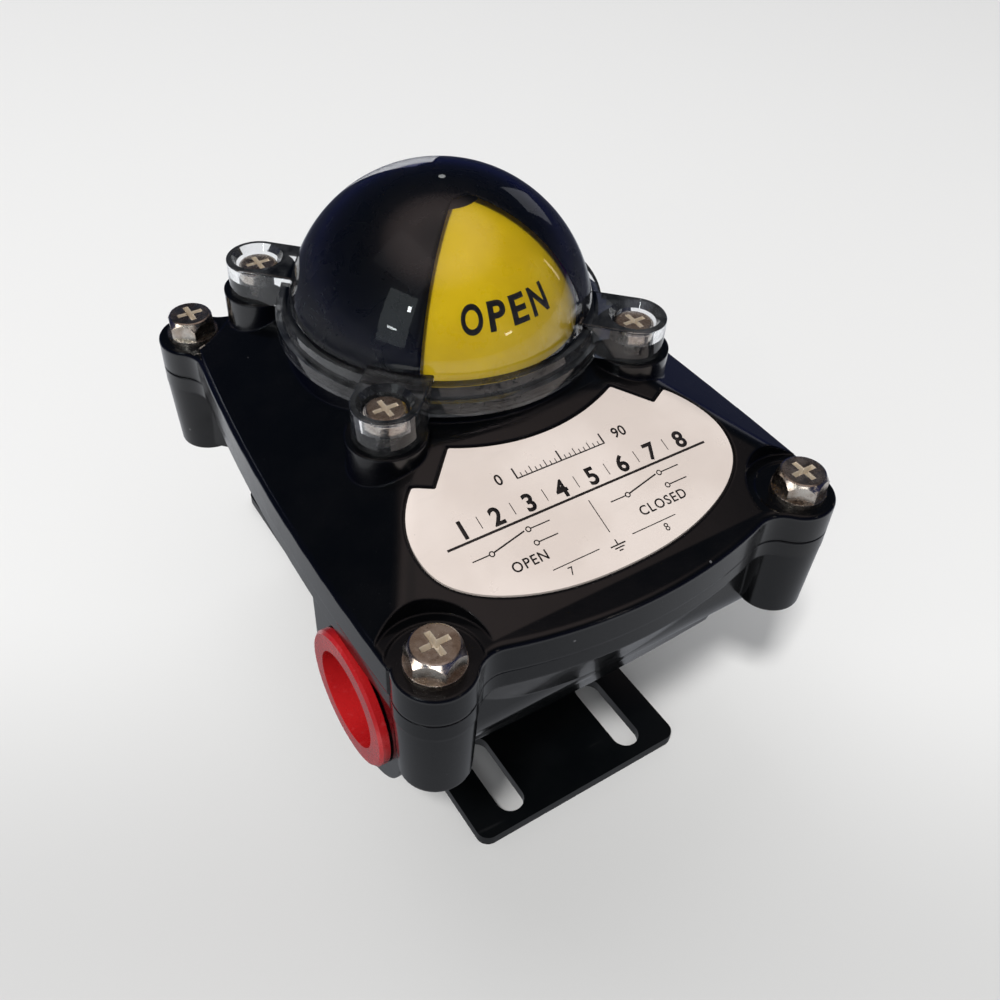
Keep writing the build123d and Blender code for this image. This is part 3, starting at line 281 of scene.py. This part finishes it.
def bolt_nickel():
    """nickel plating, warm, with brown staining and fine turned lines; the punched crosses carry a painted highlight
    """
    t = Tree("bolt_nickel")
    blot = t.noise(330.0, 4.0, 0.62, distortion=0.4)
    col = t.mix(t.rng(blot, 0.36, 0.66, smooth=True), (0.46, 0.38, 0.31), (0.72, 0.67, 0.60))
    stain = t.rng(t.noise(900.0, 4.0, 0.7), 0.58, 0.74, smooth=True)
    col = t.mix(t.math("MULTIPLY", stain, 0.7), col, (0.2, 0.13, 0.085))
    rough = t.rng(t.noise(620.0, 4.0, 0.6), 0.3, 0.7, 0.17, 0.33)
    lines = t.noise(5200.0, 2.0, 0.5)
    # painted highlight: the punched cross is made pale, rough and less metallic so that it shows bright; its mask is
    # below a head's top and near its axis
    xyz = t.new("ShaderNodeSeparateXYZ")
    t.link(t.co, xyz.inputs[0])
    ax, az = t.math("ABSOLUTE", xyz.outputs["X"]), xyz.outputs["Z"]
    masks = []
    for bx, by, rr, z0, z1 in RECESSES:
        dx = t.math("SUBTRACT", ax, bx)
        dy = t.math("SUBTRACT", xyz.outputs["Y"], by)
        d = t.math("SQRT", t.math("ADD", t.math("POWER", dx, 2.0), t.math("POWER", dy, 2.0)))
        m = t.math("MULTIPLY", t.math("LESS_THAN", d, rr), t.math("MULTIPLY", t.math("LESS_THAN", az, z1), t.math("GREATER_THAN", az, z0)))
        masks.append(m)
    cross_painted_highlight = masks[0]
    for m in masks[1:]:
        cross_painted_highlight = t.math("ADD", cross_painted_highlight, m)
    # painted highlight: pale colour inside the crosses
    col = t.mix(cross_painted_highlight, col, (0.66, 0.58, 0.47))
    rough = t.math("ADD", rough, t.math("MULTIPLY", cross_painted_highlight, 0.3))
    bev = t.new("ShaderNodeBevel")
    bev.samples = 4
    bev.inputs["Radius"].default_value = 0.00016
    t.set(color=col, metal=t.math("SUBTRACT", 1.0, t.math("MULTIPLY", cross_painted_highlight, 0.65)), rough=rough, ior=1.5)
    t.set(normal=t.bump(t.math("ADD", lines, t.math("MULTIPLY", blot, 2.0)), 0.000012, 0.8, normal=bev.outputs[0]))
    return t.mat


def plug_red():
    """soft moulded polyethylene: waxy gloss, sink marks, pale rubbing on the face"""
    t = Tree("plug_red")
    drift = t.noise(80.0, 3.0, 0.55)
    scuff = t.rng(t.noise(700.0, 4.0, 0.65, vec=t.mapping(scale=(1, 1, 0.3))), 0.60, 0.72, smooth=True)
    col = t.mix(t.rng(drift, 0.35, 0.65, smooth=True), (0.37, 0.008, 0.010), (0.44, 0.012, 0.014))
    col = t.mix(t.math("MULTIPLY", scuff, 0.22), col, (0.75, 0.12, 0.13))
    wave = t.noise(170.0, 2.0, 0.5)
    t.set(color=col, rough=t.rng(t.noise(260.0, 4.0, 0.6), 0.3, 0.7, 0.2, 0.34), metal=0.0, ior=1.52, coat=0.35, coat_rough=0.2, sss=0.05)
    t.bsdf.inputs["Subsurface Radius"].default_value = (0.0012, 0.0003, 0.0002)
    t.bsdf.inputs["Subsurface Scale"].default_value = 1.0
    t.set(normal=t.bump(t.math("ADD", wave, t.math("MULTIPLY", t.noise(1500.0), 0.15)), 0.00006, 0.6))
    return t.mat


def dome_clear():
    """clear polycarbonate; the thick ears and flange get a faint white veil, partly cloudiness and partly a painted
    reflection that brightens them, and lamps shine through
    """
    t = Tree("dome_clear")
    sep = t.new("ShaderNodeSeparateXYZ")
    t.link(t.co, sep.inputs[0])
    r = t.math("SQRT", t.math("ADD", t.math("POWER", sep.outputs["X"], 2.0), t.math("POWER", sep.outputs["Y"], 2.0)))
    thick = t.rng(r, 0.0284, 0.0290)
    cloud = t.noise(260.0, 3.0, 0.55, distortion=0.4)
    smear = t.rng(t.noise(210.0, 4.0, 0.62, distortion=0.8), 0.50, 0.78, 0.0, 0.03, smooth=True)
    # painted reflection, partly real cloudiness: a faint diffuse white veil on the thick ears and flange only
    cloud_and_painted_glow = t.math("MULTIPLY", thick, t.rng(cloud, 0.35, 0.65, 0.004, 0.03))
    t.set(color=(0.95, 0.97, 1.0), rough=smear, ior=1.56, trans=t.math("SUBTRACT", 1.0, cloud_and_painted_glow), metal=0.0)
    lp = t.new("ShaderNodeLightPath")
    tr = t.new("ShaderNodeBsdfTransparent")
    tr.inputs[0].default_value = (0.9, 0.92, 0.94, 1)
    mx = t.new("ShaderNodeMixShader")
    t.link(lp.outputs["Is Shadow Ray"], mx.inputs[0])
    t.link(t.bsdf.outputs[0], mx.inputs[1])
    t.link(tr.outputs[0], mx.inputs[2])
    t.link(mx.outputs[0], t.out.inputs[0])
    return t.mat


def sector(name, base, deep):
    t = Tree(name)
    drift = t.noise(70.0, 3.0, 0.5)
    fine = t.noise(1300.0, 3.0, 0.6)
    col = t.mix(t.rng(drift, 0.3, 0.7, smooth=True), deep, base)
    t.set(color=col, rough=t.rng(t.noise(300.0, 3.0, 0.6), 0.3, 0.7, 0.24, 0.36), metal=0.0, ior=1.5)
    t.set(normal=t.bump(t.math("ADD", drift, t.math("MULTIPLY", fine, 0.05)), 0.00004, 0.6))
    return t.mat


MATS = {
    "black_coat": black_coat(),
    "bracket_black": bracket_black(),
    "zinc_screw": metal("zinc_screw", (0.60, 0.60, 0.57), 0.27, tarnish=(0.35, 0.33, 0.28)),
    "seal_rubber": plastic("seal_rubber", (0.012, 0.012, 0.013), 0.55, grain=2600.0, bump=0.00003),
    "bush_bronze": metal("bush_bronze", (0.55, 0.38, 0.17), 0.36, grain=2400.0, bump=0.00002, tarnish=(0.25, 0.16, 0.07)),
    "shaft_steel": metal("shaft_steel", (0.62, 0.61, 0.59), 0.24, streak=(0.4, 0.4, 3.5), grain=2200.0, bump=0.000008),
    "spring_steel": metal("spring_steel", (0.42, 0.41, 0.40), 0.3, streak=(1, 1, 4), tarnish=(0.2, 0.17, 0.13)),
    "cam_red": plastic("cam_red", (0.55, 0.018, 0.014), 0.32),
    "cam_yellow": plastic("cam_yellow", (0.72, 0.43, 0.015), 0.32),
    "white_plastic": plastic("white_plastic", (0.74, 0.73, 0.69), 0.42, vary=0.06),
    "zinc_plate": metal("zinc_plate", (0.58, 0.56, 0.47), 0.3, streak=(0.3, 3, 1), tarnish=(0.42, 0.36, 0.2)),
    "switch_black": plastic("switch_black", (0.018, 0.018, 0.02), 0.4, grain=2000.0, bump=0.00003),
    "tab_brass": metal("tab_brass", (0.66, 0.48, 0.22), 0.28, tarnish=(0.35, 0.2, 0.08)),
    "terminal_grey": plastic("terminal_grey", (0.36, 0.37, 0.36), 0.45, grain=1600.0, bump=0.00003),
    "earth_brass": metal("earth_brass", (0.62, 0.44, 0.18), 0.26, tarnish=(0.3, 0.19, 0.07)),
    "wire_black": plastic("wire_black", (0.014, 0.014, 0.015), 0.33, grain=2600.0),
    "wire_blue": plastic("wire_blue", (0.015, 0.06, 0.36), 0.33, grain=2600.0),
    "wire_red": plastic("wire_red", (0.48, 0.012, 0.012), 0.33, grain=2600.0),
    "plug_red": plug_red(),
    "label_silver": label_silver(),
    "bolt_nickel": bolt_nickel(),
    "dome_clear": dome_clear(),
    "mask_black": plastic("mask_black", (0.0012, 0.0014, 0.0022), 0.3, bump=0.000008),
    "spindle_black": plastic("spindle_black", (0.012, 0.012, 0.013), 0.38, grain=1800.0, bump=0.00003),
    "sector_yellow": sector("sector_yellow", (0.90, 0.60, 0.006), (0.78, 0.50, 0.004)),
    "sector_red": sector("sector_red", (0.58, 0.014, 0.012), (0.44, 0.009, 0.009)),
    "print_white": plastic("print_white", (0.78, 0.78, 0.76), 0.4, vary=0.05, grain=3000.0, bump=0.000004),
    "print_black": plastic("print_black", (0.012, 0.010, 0.010), 0.4, vary=0.3, grain=3000.0, bump=0.000004),
}

slot_of = {}
for row in frame["record"].get("subparts", []):
    if isinstance(row, dict):
        for key in ("node", "name"):
            if key in row:
                slot_of[row[key]] = row.get("material") or row.get("slot") or row.get("material_slot")
for name, o in NODES.items():
    for i, s in enumerate(o.material_slots):
        want = s.material.name.split(".")[0] if s.material else slot_of.get(name)
        if want in MATS:
            s.material = MATS[want]
        else:
            print("NO MATERIAL for", name, want)


# ---------------------------------------------------------------- mesh helpers
def new_piece(name, verts, faces, mat, body, smooth=True):
    me = bpy.data.meshes.new(name)
    me.from_pydata([tuple(v) for v in verts], [], faces)
    me.validate()
    me.update()
    ob = bpy.data.objects.new(name, me)
    bpy.context.scene.collection.objects.link(ob)
    me.materials.append(MATS[mat])
    if smooth:
        for p in me.polygons:
            p.use_smooth = True
    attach(ob, body)
    return ob


def text_outline(word, spacing=1.0, bold=0.0):
    """triangles of a word set in the built-in sans, as (verts, faces) in its own units"""
    cu = bpy.data.curves.new("word", "FONT")
    cu.body = word
    cu.size = 1.0
    cu.offset = bold
    cu.space_character = spacing
    cu.resolution_u = 6
    ob = bpy.data.objects.new("word", cu)
    bpy.context.scene.collection.objects.link(ob)
    dg = bpy.context.evaluated_depsgraph_get()
    me = bpy.data.meshes.new_from_object(ob.evaluated_get(dg))
    bm = bmesh.new()
    bm.from_mesh(me)
    bmesh.ops.remove_doubles(bm, verts=bm.verts, dist=1e-5)
    bmesh.ops.triangulate(bm, faces=bm.faces)
    bpy.data.objects.remove(ob)
    bpy.data.curves.remove(cu)
    bpy.data.meshes.remove(me)
    return bm


def split_long(bm, limit, rounds=5):
    """halves every edge longer than limit, so that the mesh can follow a curved surface"""
    for _ in range(rounds):
        long = [e for e in bm.edges if e.calc_length() > limit]
        if not long:
            break
        bmesh.ops.subdivide_edges(bm, edges=long, cuts=1)
        bmesh.ops.triangulate(bm, faces=[f for f in bm.faces if len(f.verts) > 3])


def fit_word(bm, width, height):
    """scales a word to width by height about its own centre; width None keeps its proportions"""
    xs = [v.co.x for v in bm.verts]
    ys = [v.co.y for v in bm.verts]
    cx, cy = (min(xs) + max(xs)) / 2, (min(ys) + max(ys)) / 2
    ky = height / (max(ys) - min(ys))
    kx = ky if width is None else width / (max(xs) - min(xs))
    for v in bm.verts:
        v.co = Vector(((v.co.x - cx) * kx, (v.co.y - cy) * ky, 0))


# ---------------------------------------------------------------- words on the indicator
_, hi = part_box("indicator_open")
ROT_R = 25.3 * MM
DOME_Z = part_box("dome")[0].z


def word_on_ball(name, letters, az0, el0, height, gap, mat, lift=0.05 * MM, thick=0.04 * MM):
    """letters are (character, width) pairs in metres, set side by side and wrapped on the indicator"""
    bm = bmesh.new()
    total = sum(w for _, w in letters) + gap * (len(letters) - 1)
    x = -total / 2
    for ch, w in letters:
        sub = text_outline(ch, bold=0.028)
        fit_word(sub, w, height * (1.03 if ch in "OCS" else 1.0))
        for v in sub.verts:
            v.co.x += x + w / 2
        me = bpy.data.meshes.new("tmp")
        sub.to_mesh(me)
        sub.free()
        bm.from_mesh(me)
        bpy.data.meshes.remove(me)
        x += w + gap
    split_long(bm, 0.9 * MM)
    top = list(bm.faces)
    ext = bmesh.ops.extrude_face_region(bm, geom=top)
    moved = {v for v in ext["geom"] if isinstance(v, bmesh.types.BMVert)}
    R0 = ROT_R + lift
    k = R0 * math.cos(el0)
    for v in bm.verts:
        r = R0 if v not in moved else R0 - thick - lift * 0.4
        el = el0 + v.co.y / R0
        az = az0 + v.co.x / k
        v.co = Vector((r * math.cos(el) * math.cos(az), r * math.cos(el) * math.sin(az), DOME_Z + r * math.sin(el)))
    bmesh.ops.recalc_face_normals(bm, faces=bm.faces)
    me = bpy.data.meshes.new(name)
    bm.to_mesh(me)
    bm.free()
    ob = bpy.data.objects.new(name, me)
    bpy.context.scene.collection.objects.link(ob)
    me.materials.append(MATS[mat])
    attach(ob, "indicator")
    return ob


EL_T = math.radians(31.2)
W_OPEN = [("O", 3.7 * MM), ("P", 3.2 * MM), ("E", 3.1 * MM), ("N", 3.7 * MM)]
W_CLOSED = [("C", 3.4 * MM), ("L", 2.8 * MM), ("O", 3.6 * MM), ("S", 3.1 * MM), ("E", 2.9 * MM), ("D", 3.4 * MM)]
for i, a in enumerate((-90.0, 90.0)):
    word_on_ball("word_open_%d" % (i + 1), W_OPEN, math.radians(a - 0.3), EL_T, 5.0 * MM, 1.0 * MM, "print_black")
for i, a in enumerate((0.0, 180.0)):
    word_on_ball("word_closed_%d" % (i + 1), W_CLOSED, math.radians(a), EL_T, 4.9 * MM, 0.85 * MM, "print_white")


# ---------------------------------------------------------------- black skin of the dome
def mask_skin():
    """black skin in optical contact with the dome's inner wall, with two windows"""
    R, T = 26.88 * MM, 0.1 * MM
    band = 3.11 * MM
    z_win = 68.6 * MM - DOME_Z
    els = [0.0, math.asin(0.5 * z_win / R), math.asin(z_win / R)]
    e_cap = math.acos(6.2 * MM / R)
    n1 = 26
    els += [els[2] + (e_cap - els[2]) * k / n1 for k in range(1, n1 + 1)]
    e_top = math.radians(89.0)
    els += [e_cap + (e_top - e_cap) * k / 6 for k in range(1, 7)]

    def ring(e):
        half = math.acos(band / (R * math.cos(min(e, e_cap)))) - math.pi / 4
        row = []
        for c in (-math.pi / 2, math.pi / 2):
            row += [c - half + 2 * half * k / 26 for k in range(26)]
            row += [c + half + (math.pi - 2 * half) * k / 34 for k in range(34)]
        return row

    n = len(ring(0.0))
    verts, faces, keep = [], [], []
    for r in (R, R - T):
        for e in els:
            for a in ring(e):
                verts.append((r * math.cos(e) * math.cos(a), r * math.cos(e) * math.sin(a), DOME_Z + r * math.sin(e)))
        verts.append((0, 0, DOME_Z + r))
    layer = len(els) * n + 1

    def hole(i, j):
        if i < 2 or els[i] >= e_cap - 1e-9:
            return False
        j = j % n
        return (j % 60) < 26

    for i in range(len(els) - 1):
        for j in range(n):
            if hole(i, j):
                continue
            k = (j + 1) % n
            a, b, c, d = i * n + j, i * n + k, (i + 1) * n + k, (i + 1) * n + j
            faces.append((a, b, c, d))
            faces.append((d + layer, c + layer, b + layer, a + layer))
            if i == 0:
                faces.append((b, a, a + layer, b + layer))
            elif hole(i - 1, j):
                faces.append((b, a, a + layer, b + layer))
            if i + 1 < len(els) - 1 and hole(i + 1, j):
                faces.append((d, c, c + layer, d + layer))
            if hole(i, j - 1):
                faces.append((a, d, d + layer, a + layer))
            if hole(i, k):
                faces.append((c, b, b + layer, c + layer))
    pole = len(els) * n
    last = (len(els) - 1) * n
    for j in range(n):
        k = (j + 1) % n
        faces.append((last + j, last + k, pole))
        faces.append((last + k + layer, last + j + layer, pole + layer))
    ob = new_piece("dome_mask_skin", verts, faces, "mask_black", "cover")
    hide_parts("dome_mask")
    return ob


mask_skin()


# ---------------------------------------------------------------- print on the label
def label_print():
    src = NODES["label_plate"]
    tree = BVHTree.FromPolygons([src.matrix_world @ v.co for v in src.data.vertices], [tuple(p.vertices) for p in src.data.polygons])

    bm = bmesh.new()

    def add(sub, x, y):
        me = bpy.data.meshes.new("tmp")
        for v in sub.verts:
            v.co += Vector((x, y, 0))
        sub.to_mesh(me)
        sub.free()
        bm.from_mesh(me)
        bpy.data.meshes.remove(me)

    def word(s, x, y, h, w=None, bold=0.0, spacing=1.05):
        t = text_outline(s, spacing=spacing, bold=bold)
        fit_word(t, None if w is None else w * MM, h * MM)
        add(t, x * MM, y * MM)

    def bar(x0, y0, x1, y1, w):
        d = Vector((x1 - x0, y1 - y0, 0))
        l = d.length
        d.normalize()
        nrm = Vector((-d.y, d.x, 0)) * (w / 2)
        steps = max(1, int(l / 0.8))
        row = []
        for k in range(steps + 1):
            p = Vector((x0, y0, 0)) + d * (l * k / steps)
            row.append((bm.verts.new((p + nrm) * MM), bm.verts.new((p - nrm) * MM)))
        for a, b in zip(row, row[1:]):
            bm.faces.new((a[0], a[1], b[1], b[0]))

    def ring(x, y, r, w, a0=0.0, a1=360.0):
        steps = max(8, int(abs(a1 - a0) / 15))
        row = []
        for k in range(steps + 1):
            a = math.radians(a0 + (a1 - a0) * k / steps)
            c, s = math.cos(a), math.sin(a)
            row.append((bm.verts.new(((x + (r + w / 2) * c) * MM, (y + (r + w / 2) * s) * MM, 0)), bm.verts.new(((x + (r - w / 2) * c) * MM, (y + (r - w / 2) * s) * MM, 0))))
        for a, b in zip(row, row[1:]):
            bm.faces.new((a[0], a[1], b[1], b[0]))

    # quarter-turn scale under the dome
    for k in range(19):
        x = -9.0 + k
        long = k % 9 == 0
        bar(x, -40.2, x, -38.2 if long else (-38.9 if k % 3 == 0 else -39.4), 0.3 if long else 0.16)
    bar(-9.1, -40.2, 9.1, -40.2, 0.22)
    word("0", -12.2, -39.2, 2.0, bold=0.015)
    word("90", 12.8, -39.2, 2.0, bold=0.015)
    # heavy row: terminal numbers between two rules
    for k, s in enumerate("12345678"):
        x = -22.4 + 6.4 * k
        word(s, x, -44.7, 3.3, bold=0.03)
        if k < 7:
            bar(x + 3.2, -43.5, x + 3.2, -45.7, 0.14)
    bar(-26.5, -46.9, 26.5, -46.9, 0.42)
    # change-over contacts
    for sx, words in ((-13.6, "OPEN"), (13.6, "CLOSED")):
        ring(sx - 6.6, -50.1, 0.42, 0.2)
        bar(sx - 10.2, -50.1, sx - 7.0, -50.1, 0.2)
        bar(sx - 6.2, -50.0, sx + 0.4, -48.75, 0.26)
        ring(sx + 1.2, -48.75, 0.42, 0.2)
        ring(sx + 1.2, -51.3, 0.42, 0.2)
        bar(sx + 1.6, -48.75, sx + 5.4, -48.75, 0.2)
        bar(sx + 1.6, -51.3, sx + 5.4, -51.3, 0.2)
        word(words, sx - 1.6, -53.6, 1.75, bold=0.012, spacing=1.15)
    bar(-0.0, -48.3, 0.0, -54.6, 0.16)
    # earth mark and spare pair
    bar(0, -56.0, 0, -57.0, 0.22)
    bar(-1.5, -57.0, 1.5, -57.0, 0.24)
    bar(-0.95, -57.5, 0.95, -57.5, 0.22)
    bar(-0.4, -58.0, 0.4, -58.0, 0.2)
    for sx in (-1, 1):
        bar(sx * 3.4, -56.4, sx * 12.6, -56.4, 0.16)
    word("7", -9.8, -57.7, 1.4)
    word("8", 9.8, -57.7, 1.4)

    split_long(bm, 1.0 * MM)
    bmesh.ops.remove_doubles(bm, verts=bm.verts, dist=1e-7)
    lost = []
    for v in bm.verts:
        hit, nrm, _, _ = tree.ray_cast(Vector((v.co.x, v.co.y, 0.09)), Vector((0, 0, -1)))
        if hit is None:
            lost.append(v)
        else:
            v.co = hit + nrm * 0.025 * MM
    if lost:
        print("label print: lost", len(lost), [tuple(round(c / MM, 1) for c in v.co) for v in lost[:5]])
        bmesh.ops.delete(bm, geom=lost, context="VERTS")
    bmesh.ops.recalc_face_normals(bm, faces=bm.faces)
    if sum(f.normal.z for f in bm.faces) < 0:
        bmesh.ops.reverse_faces(bm, faces=bm.faces)
    me = bpy.data.meshes.new("label_print")
    bm.to_mesh(me)
    bm.free()
    ob = bpy.data.objects.new("label_print", me)
    bpy.context.scene.collection.objects.link(ob)
    me.materials.append(MATS["print_black"])
    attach(ob, "cover")
    sol = ob.modifiers.new("thickness", "SOLIDIFY")
    sol.thickness = 0.03 * MM
    sol.offset = -1.0
    return ob


label_print()


# ---------------------------------------------------------------- gate mark on the dome, with a painted highlight
def gate_mark_and_painted_highlight():
    """small pale bead at the very top of the black skin, under the mould gate; its pale grey is a painted highlight
    standing in for the gate dimple's glint
    """
    z0 = DOME_Z + 26.88 * MM
    n = 24
    prof = [(0.62, -0.02), (0.55, 0.035), (0.42, 0.06), (0.30, 0.02), (0.16, 0.035)]
    verts = [(r * MM * math.cos(2 * math.pi * j / n), r * MM * math.sin(2 * math.pi * j / n), z0 + dz * MM) for r, dz in prof for j in range(n)]
    verts.append((0, 0, z0 + 0.045 * MM))
    verts.append((0, 0, z0 - 0.02 * MM))
    faces = []
    for i in range(len(prof) - 1):
        for j in range(n):
            k = (j + 1) % n
            faces.append((i * n + j, i * n + k, (i + 1) * n + k, (i + 1) * n + j))
    last, top, bot = (len(prof) - 1) * n, len(verts) - 2, len(verts) - 1
    for j in range(n):
        k = (j + 1) % n
        faces.append((last + j, last + k, top))
        faces.append((k, j, bot))
    return new_piece("gate_bead_painted_highlight", verts, faces, "terminal_grey", "cover")


gate_mark_and_painted_highlight()


# ---------------------------------------------------------------- floor, light, world
def floor():
    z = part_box("mounting_bracket")[0].z
    n = 48
    verts, faces = [], []
    rad = [0.0] + [0.05 * 1.14 ** k for k in range(38)]
    for r in rad[1:]:
        for j in range(n):
            a = 2 * math.pi * j / n
            verts.append((r * math.cos(a), r * math.sin(a), z))
    verts.append((0, 0, z))
    c = len(verts) - 1
    for j in range(n):
        faces.append((j, (j + 1) % n, c))
    for i in range(len(rad) - 2):
        for j in range(n):
            k = (j + 1) % n
            faces.append((i * n + j, (i + 1) * n + j, (i + 1) * n + k, i * n + k))
    me = bpy.data.meshes.new("floor")
    me.from_pydata(verts, [], faces)
    me.update()
    ob = bpy.data.objects.new("floor", me)
    bpy.context.scene.collection.objects.link(ob)
    t = Tree("floor_pale")
    # painted shade: slightly darker towards the front of the table, standing in for the light falling off there
    sep = t.new("ShaderNodeSeparateXYZ")
    t.link(t.mapping(rot=(0, 0, math.radians(35))), sep.inputs[0])
    floor_painted_shade = t.rng(sep.outputs["Y"], -0.088, -0.002, smooth=True)
    soft = t.noise(6.0, 2.0, 0.5)
    col = t.mix(floor_painted_shade, (0.61, 0.61, 0.61), (0.80, 0.80, 0.80))
    col = t.mix(t.math("MULTIPLY", soft, 0.06), col, (0.8, 0.8, 0.8))
    t.set(color=col, rough=0.9, ior=1.4, metal=0.0, spec=0.1)
    me.materials.append(t.mat)
    ob.visible_glossy = False
    return ob


floor()


def area(name, loc, target, size, power, color=(1, 1, 1), size_y=None, glossy=True, spread=180.0):
    li = bpy.data.lights.new(name, "AREA")
    li.shape = "RECTANGLE"
    li.size = size
    li.size_y = size_y or size
    li.energy = power
    li.color = color
    li.spread = math.radians(spread)
    ob = bpy.data.objects.new(name, li)
    bpy.context.scene.collection.objects.link(ob)
    d = (Vector(loc) - Vector(target)).normalized()
    ob.matrix_world = Matrix.Translation(Vector(loc)) @ d.to_track_quat("Z", "Y").to_matrix().to_4x4()
    ob.visible_glossy = glossy
    ob.visible_transmission = False
    ob.visible_camera = False
    return ob


CTR = (0, 0, 0.03)
area("key", (-0.93, -0.70, 1.97), CTR, 0.28, 36.0, (1.0, 0.99, 0.97), glossy=False)
area("fill", (-0.3, 0.9, 2.1), CTR, 1.4, 7.0, (0.98, 0.985, 1.0), glossy=False)

# strip lamps that only the bright metal parts mirror
shiny = bpy.data.collections.new("shiny_metal")
bpy.context.scene.collection.children.link(shiny)
for n in ("cover_bolts", "cover_bolt_washers", "dome_screws"):
    shiny.objects.link(NODES[n])
for args, tall in (
    (("metal_top", (0.34, 0.45, 0.62), CTR, 0.45, 0.085, (1.0, 0.74, 0.52)), 0.45),
    (("metal_left", (-0.85, -0.05, 0.10), CTR, 0.40, 2.6, (1.0, 0.98, 0.96)), 0.35),
    (("metal_front", (-0.45, -0.78, 0.14), CTR, 0.55, 2.2, (1.0, 0.97, 0.94)), 0.30),
):
    lamp = area(*args, size_y=tall, glossy=True)
    lamp.light_linking.receiver_collection = shiny

# pale panels and small far lamps of the room, mirrored in the dome
for k, (az, el, dist, size, tall, power, tone) in enumerate((
    (-113.0, 25.0, 2.0, 0.80, 1.30, 1.5, (0.90, 1.0, 1.0)),
    (-95.0, 62.0, 2.0, 1.60, 0.95, 0.42, (0.96, 0.97, 1.0)),
    (62.0, 14.0, 2.0, 0.55, 0.60, 0.35, (0.90, 0.92, 1.0)),
    (-122.0, 34.0, 1.9, 0.09, 0.13, 0.75, (0.95, 0.98, 1.0)),
    (-112.0, 18.0, 1.9, 0.24, 0.05, 0.45, (0.93, 0.98, 1.0)),
    (161.0, 11.0, 1.7, 0.16, 0.05, 0.22, (1.0, 0.93, 0.80)),
    (102.0, 15.0, 1.7, 0.05, 0.42, 0.20, (1.0, 0.86, 0.68)),
)):
    a, e = math.radians(az), math.radians(el)
    loc = (dist * math.cos(e) * math.sin(a), dist * math.cos(e) * math.cos(a), dist * math.sin(e) + 0.065)
    area("room_%d" % k, loc, (0, 0, 0.065), size, power, tone, size_y=tall)

world = bpy.data.worlds.new("studio")
bpy.context.scene.world = world
world.use_nodes = True
nt = world.node_tree
nt.nodes.clear()
w_out = nt.nodes.new("ShaderNodeOutputWorld")
bg_soft = nt.nodes.new("ShaderNodeBackground")
bg_soft.inputs[0].default_value = (0.985, 0.99, 1.0, 1)
bg_soft.inputs[1].default_value = 0.42
# what glossy surfaces mirror: a dim room, pale below, cool at the horizon, dark above it, warmer overhead
bg_room = nt.nodes.new("ShaderNodeBackground")
wc = nt.nodes.new("ShaderNodeTexCoord")
ws = nt.nodes.new("ShaderNodeSeparateXYZ")
nt.links.new(wc.outputs["Generated"], ws.inputs[0])
wr = nt.nodes.new("ShaderNodeMapRange")
wr.inputs["From Min"].default_value = -1.0
wr.inputs["From Max"].default_value = 1.0
nt.links.new(ws.outputs["Z"], wr.inputs["Value"])
ramp = nt.nodes.new("ShaderNodeValToRGB")
nt.links.new(wr.outputs[0], ramp.inputs[0])
el = ramp.color_ramp.elements
el[0].position, el[0].color = 0.0, (0.22, 0.225, 0.24, 1)
el[1].position, el[1].color = 1.0, (0.30, 0.26, 0.25, 1)
for z, c in (
    (-0.80, (0.24, 0.25, 0.27)), (-0.70, (0.36, 0.37, 0.39)), (-0.60, (0.62, 0.63, 0.66)), (-0.52, (0.90, 0.93, 0.98)), (-0.44, (0.40, 0.42, 0.46)),
    (-0.34, (0.06, 0.065, 0.10)), (-0.15, (0.02, 0.025, 0.06)), (0.02, (0.014, 0.020, 0.095)), (0.28, (0.014, 0.020, 0.05)), (0.62, (0.012, 0.018, 0.030)),
    (0.76, (0.035, 0.036, 0.045)), (0.87, (0.34, 0.27, 0.255)), (0.94, (0.46, 0.37, 0.35)),
):
    e = el.new((z + 1) / 2)
    e.color = (*c, 1)
nt.links.new(ramp.outputs[0], bg_room.inputs[0])
bg_room.inputs[1].default_value = 1.0
lp = nt.nodes.new("ShaderNodeLightPath")
wx = nt.nodes.new("ShaderNodeMath")
wx.operation = "MAXIMUM"
nt.links.new(lp.outputs["Is Glossy Ray"], wx.inputs[0])
nt.links.new(lp.outputs["Is Transmission Ray"], wx.inputs[1])
wm = nt.nodes.new("ShaderNodeMixShader")
nt.links.new(wx.outputs[0], wm.inputs[0])
nt.links.new(bg_soft.outputs[0], wm.inputs[1])
nt.links.new(bg_room.outputs[0], wm.inputs[2])
nt.links.new(wm.outputs[0], w_out.inputs[0])
